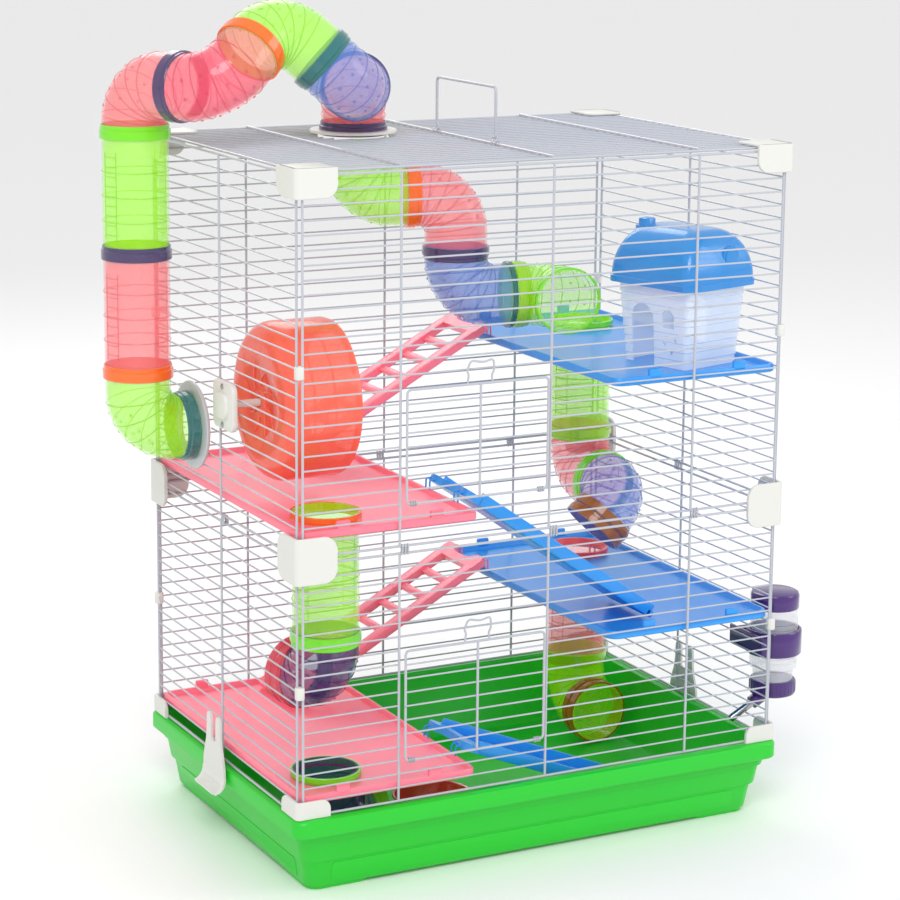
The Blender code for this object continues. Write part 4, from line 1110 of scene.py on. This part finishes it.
def bottle():
    """The clear bottle, with its cap, spout and holder."""
    low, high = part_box("bottle_body")
    centre = Vector(((low.x + high.x) / 2, (low.y + high.y) / 2, 0))
    top = high.z
    body = Shape()
    profile = [(0, low.z), (0.0178, low.z), (0.0180, low.z + 0.0090), (0.0208, low.z + 0.0110)]
    for rib in range(9):
        height = low.z + 0.0130 + rib * 0.0050
        profile += [(BOTTLE_RADIUS - 0.0004, height), (BOTTLE_RADIUS - 0.0004, height + 0.0034),
                    (BOTTLE_RADIUS - 0.0011, height + 0.0042)]
    profile += [(BOTTLE_RADIUS - 0.0006, top - 0.0150), (0, top - 0.0150)]
    body.turned(profile, centre, UP, 48)
    body.done("bottle_shell", CLEAR, "water_bottle", "bottle_body", slot="bottle_clear")
    crown = Shape()
    crown.turned([(0, top - 0.0148), (BOTTLE_RADIUS - 0.0004, top - 0.0148), (BOTTLE_RADIUS, top - 0.0140),
                  (BOTTLE_RADIUS, top - 0.0030), (BOTTLE_RADIUS - 0.0010, top - 0.0010),
                  (BOTTLE_RADIUS - 0.0032, top), (0, top)], centre, UP, 48)
    crown.done("bottle_crown", PURPLE, "water_bottle", slot="purple")
    bottle_cap(centre)
    bottle_holder(centre)


def bottle_cap(centre):
    """A ribbed cap with a steel spout that slopes in through the wires."""
    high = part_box("bottle_cap")[1]
    spout_z = BASE_Z + 1.5 * LOWER_PITCH
    slope = Vector((cos(radians(28)), 0, sin(radians(28))))
    crossing = Vector((CAGE_HALF_X, centre.y, spout_z))
    neck = crossing + slope * ((centre.x - CAGE_HALF_X) / slope.x)
    cap = Shape()
    cap.turned([(0, high.z - 0.0002), (0.0196, high.z - 0.0002), (0.0204, high.z - 0.0010),
                (0.0204, high.z - 0.0120), (0.0196, high.z - 0.0132), (0.0150, high.z - 0.0150),
                (0.0118, neck.z + 0.0060), (0.0108, neck.z - 0.0030), (0.0085, neck.z - 0.0055),
                (0, neck.z - 0.0060)], centre, UP, 40)
    for step in range(32):
        angle = 2 * pi * step / 32
        out = Vector((cos(angle), sin(angle), 0))
        cap.wire([centre + out * 0.0203 + UP * (high.z - below) for below in (0.0018, 0.0112)], 0.0004, 5)
    cap.wire([neck + slope * 0.004, neck - slope * 0.0240], 0.0060, 20)
    cap.done("moulded_bottle_cap", PURPLE, "water_bottle", "bottle_cap")
    spout = Shape()
    end = crossing - slope * 0.0188
    spout.turned([(0, 0), (0.0031, 0), (0.0034, 0.0010), (0.0034, (neck - end).length - 0.010),
                  (0, (neck - end).length - 0.010)], end, slope, 20)
    spout.done("bottle_spout", STEEL, "water_bottle")


def bottle_holder(centre):
    """A band round the bottle, with two arms to a plate against the wires."""
    low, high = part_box("bottle_holder")
    shape = Shape()
    inner = BOTTLE_RADIUS + 0.0004
    outer = BOTTLE_RADIUS + 0.0030
    shape.turned([(inner, low.z), (outer - 0.0006, low.z), (outer, low.z + 0.0008), (outer, high.z - 0.0008),
                  (outer - 0.0006, high.z), (inner, high.z)], centre, UP, 48, closed=True)
    face = CAGE_HALF_X + POST_WIRE / 2 + GAP
    shape.soft_box((face, centre.y - 0.0190, low.z + 0.0020),
                   (face + 0.0026, centre.y + 0.0330, high.z - 0.0020), 0.0010, 0.0008)
    for side in (-0.0170, 0.0250):
        shape.soft_box((face + 0.0010, centre.y + side - 0.0022, low.z + 0.0030),
                       (centre.x - 0.0060, centre.y + side + 0.0022, high.z - 0.0030), 0.0010, 0.0008)
    shape.done("moulded_bottle_holder", PURPLE, "water_bottle", "bottle_holder")


def bowl():
    """A round food bowl with a rolled rim."""
    low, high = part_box("food_bowl")
    centre = Vector(((low.x + high.x) / 2, (low.y + high.y) / 2, low.z))
    radius = (high.x - low.x) / 2
    tall = high.z - low.z
    shape = Shape()
    outer = [(0, 0), (radius - 0.0090, 0), (radius - 0.0060, 0.0012), (radius - 0.0036, 0.0060),
             (radius - 0.0012, tall - 0.0026), (radius, tall - 0.0010), (radius - 0.0006, tall)]
    inner = [(radius - 0.0024, tall - 0.0004), (radius - 0.0036, tall - 0.0030), (radius - 0.0060, 0.0068),
             (radius - 0.0090, 0.0032), (radius - 0.0130, 0.0022), (0, 0.0022)]
    shape.turned(outer + inner, centre, UP, 48)
    shape.done("moulded_food_bowl", RED, "food_bowl", "food_bowl")


# Camera, floor and light

def camera():
    """The picture's viewpoint, with the picture's centre a little above the lens axis."""
    right = Vector((0.8877, -0.4604, 0.0090)).normalized()
    forward = Vector((0.4535, 0.8706, -0.1906)).normalized()
    up = right.cross(forward).normalized()
    right = forward.cross(up).normalized()
    data = bpy.data.cameras.new("camera")
    data.sensor_width = 36
    data.lens = 106.8
    data.shift_y = -0.1
    data.clip_end = 200
    obj = bpy.data.objects.new("camera", data)
    bpy.context.scene.collection.objects.link(obj)
    turn = Matrix((right, up, -forward)).transposed().to_4x4()
    obj.matrix_world = Matrix.Translation((-1.0564, -2.0032, 0.8360)) @ turn
    bpy.context.scene.camera = obj


def area_light(name, place, target, size, power):
    """A square lamp that faces its target."""
    data = bpy.data.lights.new(name, "AREA")
    data.shape = "DISK"
    data.size = size
    data.energy = power
    obj = bpy.data.objects.new(name, data)
    bpy.context.scene.collection.objects.link(obj)
    direction = Vector(target) - Vector(place)
    obj.matrix_world = Matrix.Translation(place) @ direction.to_track_quat("-Z", "Y").to_matrix().to_4x4()


def studio():
    """A white floor, even white light all round and soft lamps."""
    scene = bpy.context.scene
    scene.view_settings.view_transform = "Standard"
    scene.view_settings.look = "None"
    world = bpy.data.worlds.new("studio")
    world.use_nodes = True
    background = world.node_tree.nodes["Background"]
    background.inputs["Color"].default_value = (1.0, 1.0, 1.0, 1)
    background.inputs["Strength"].default_value = 0.90
    scene.world = world
    mesh = bpy.data.meshes.new("floor")
    size = 60
    corners = [(-size, -size, 0), (size, -size, 0), (size, size, 0), (-size, size, 0)]
    mesh.from_pydata(corners, [], [(0, 1, 2, 3)])
    floor = bpy.data.objects.new("floor", mesh)
    scene.collection.objects.link(floor)
    floor.location.z = -0.0002
    mesh.materials.append(principled("floor_paint", (0.90, 0.90, 0.90), 0.7))
    area_light("key", (-1.2, -1.9, 2.2), (0, 0, 0.30), 1.4, 30)
    area_light("fill", (1.8, -1.3, 1.2), (0, 0, 0.30), 1.2, 9)
    area_light("back", (0.4, 1.8, 1.7), (0, 0, 0.30), 1.2, 10)


side_panels()
roof_wires()
seam_joiners()
corner_cuffs()
wire_door("lower")
wire_door("upper")
carry_handle()
corner_clips()
base_clips()
tray()
tray_panels()
latch(-1)
latch(1)
platform("platform_upper_right", (RIGHT_PORT.x, RIGHT_PORT.y), BLUE)
platform("platform_middle_left", (LEFT_PORT.x, LEFT_PORT.y), PINK)
platform("platform_middle_right", (RIGHT_PORT.x, RIGHT_PORT.y), BLUE)
platform("platform_lower_left", (LEFT_PORT.x, LEFT_PORT.y), PINK)
platform_tabs()
for ladder_name in LADDERS:
    ladder(ladder_name)
outer_run()
flanges()
inner_run()
right_run()
left_run()
wheel()
wheel_bracket()
house_walls()
house_roof()
bottle()
bowl()
camera()
studio()
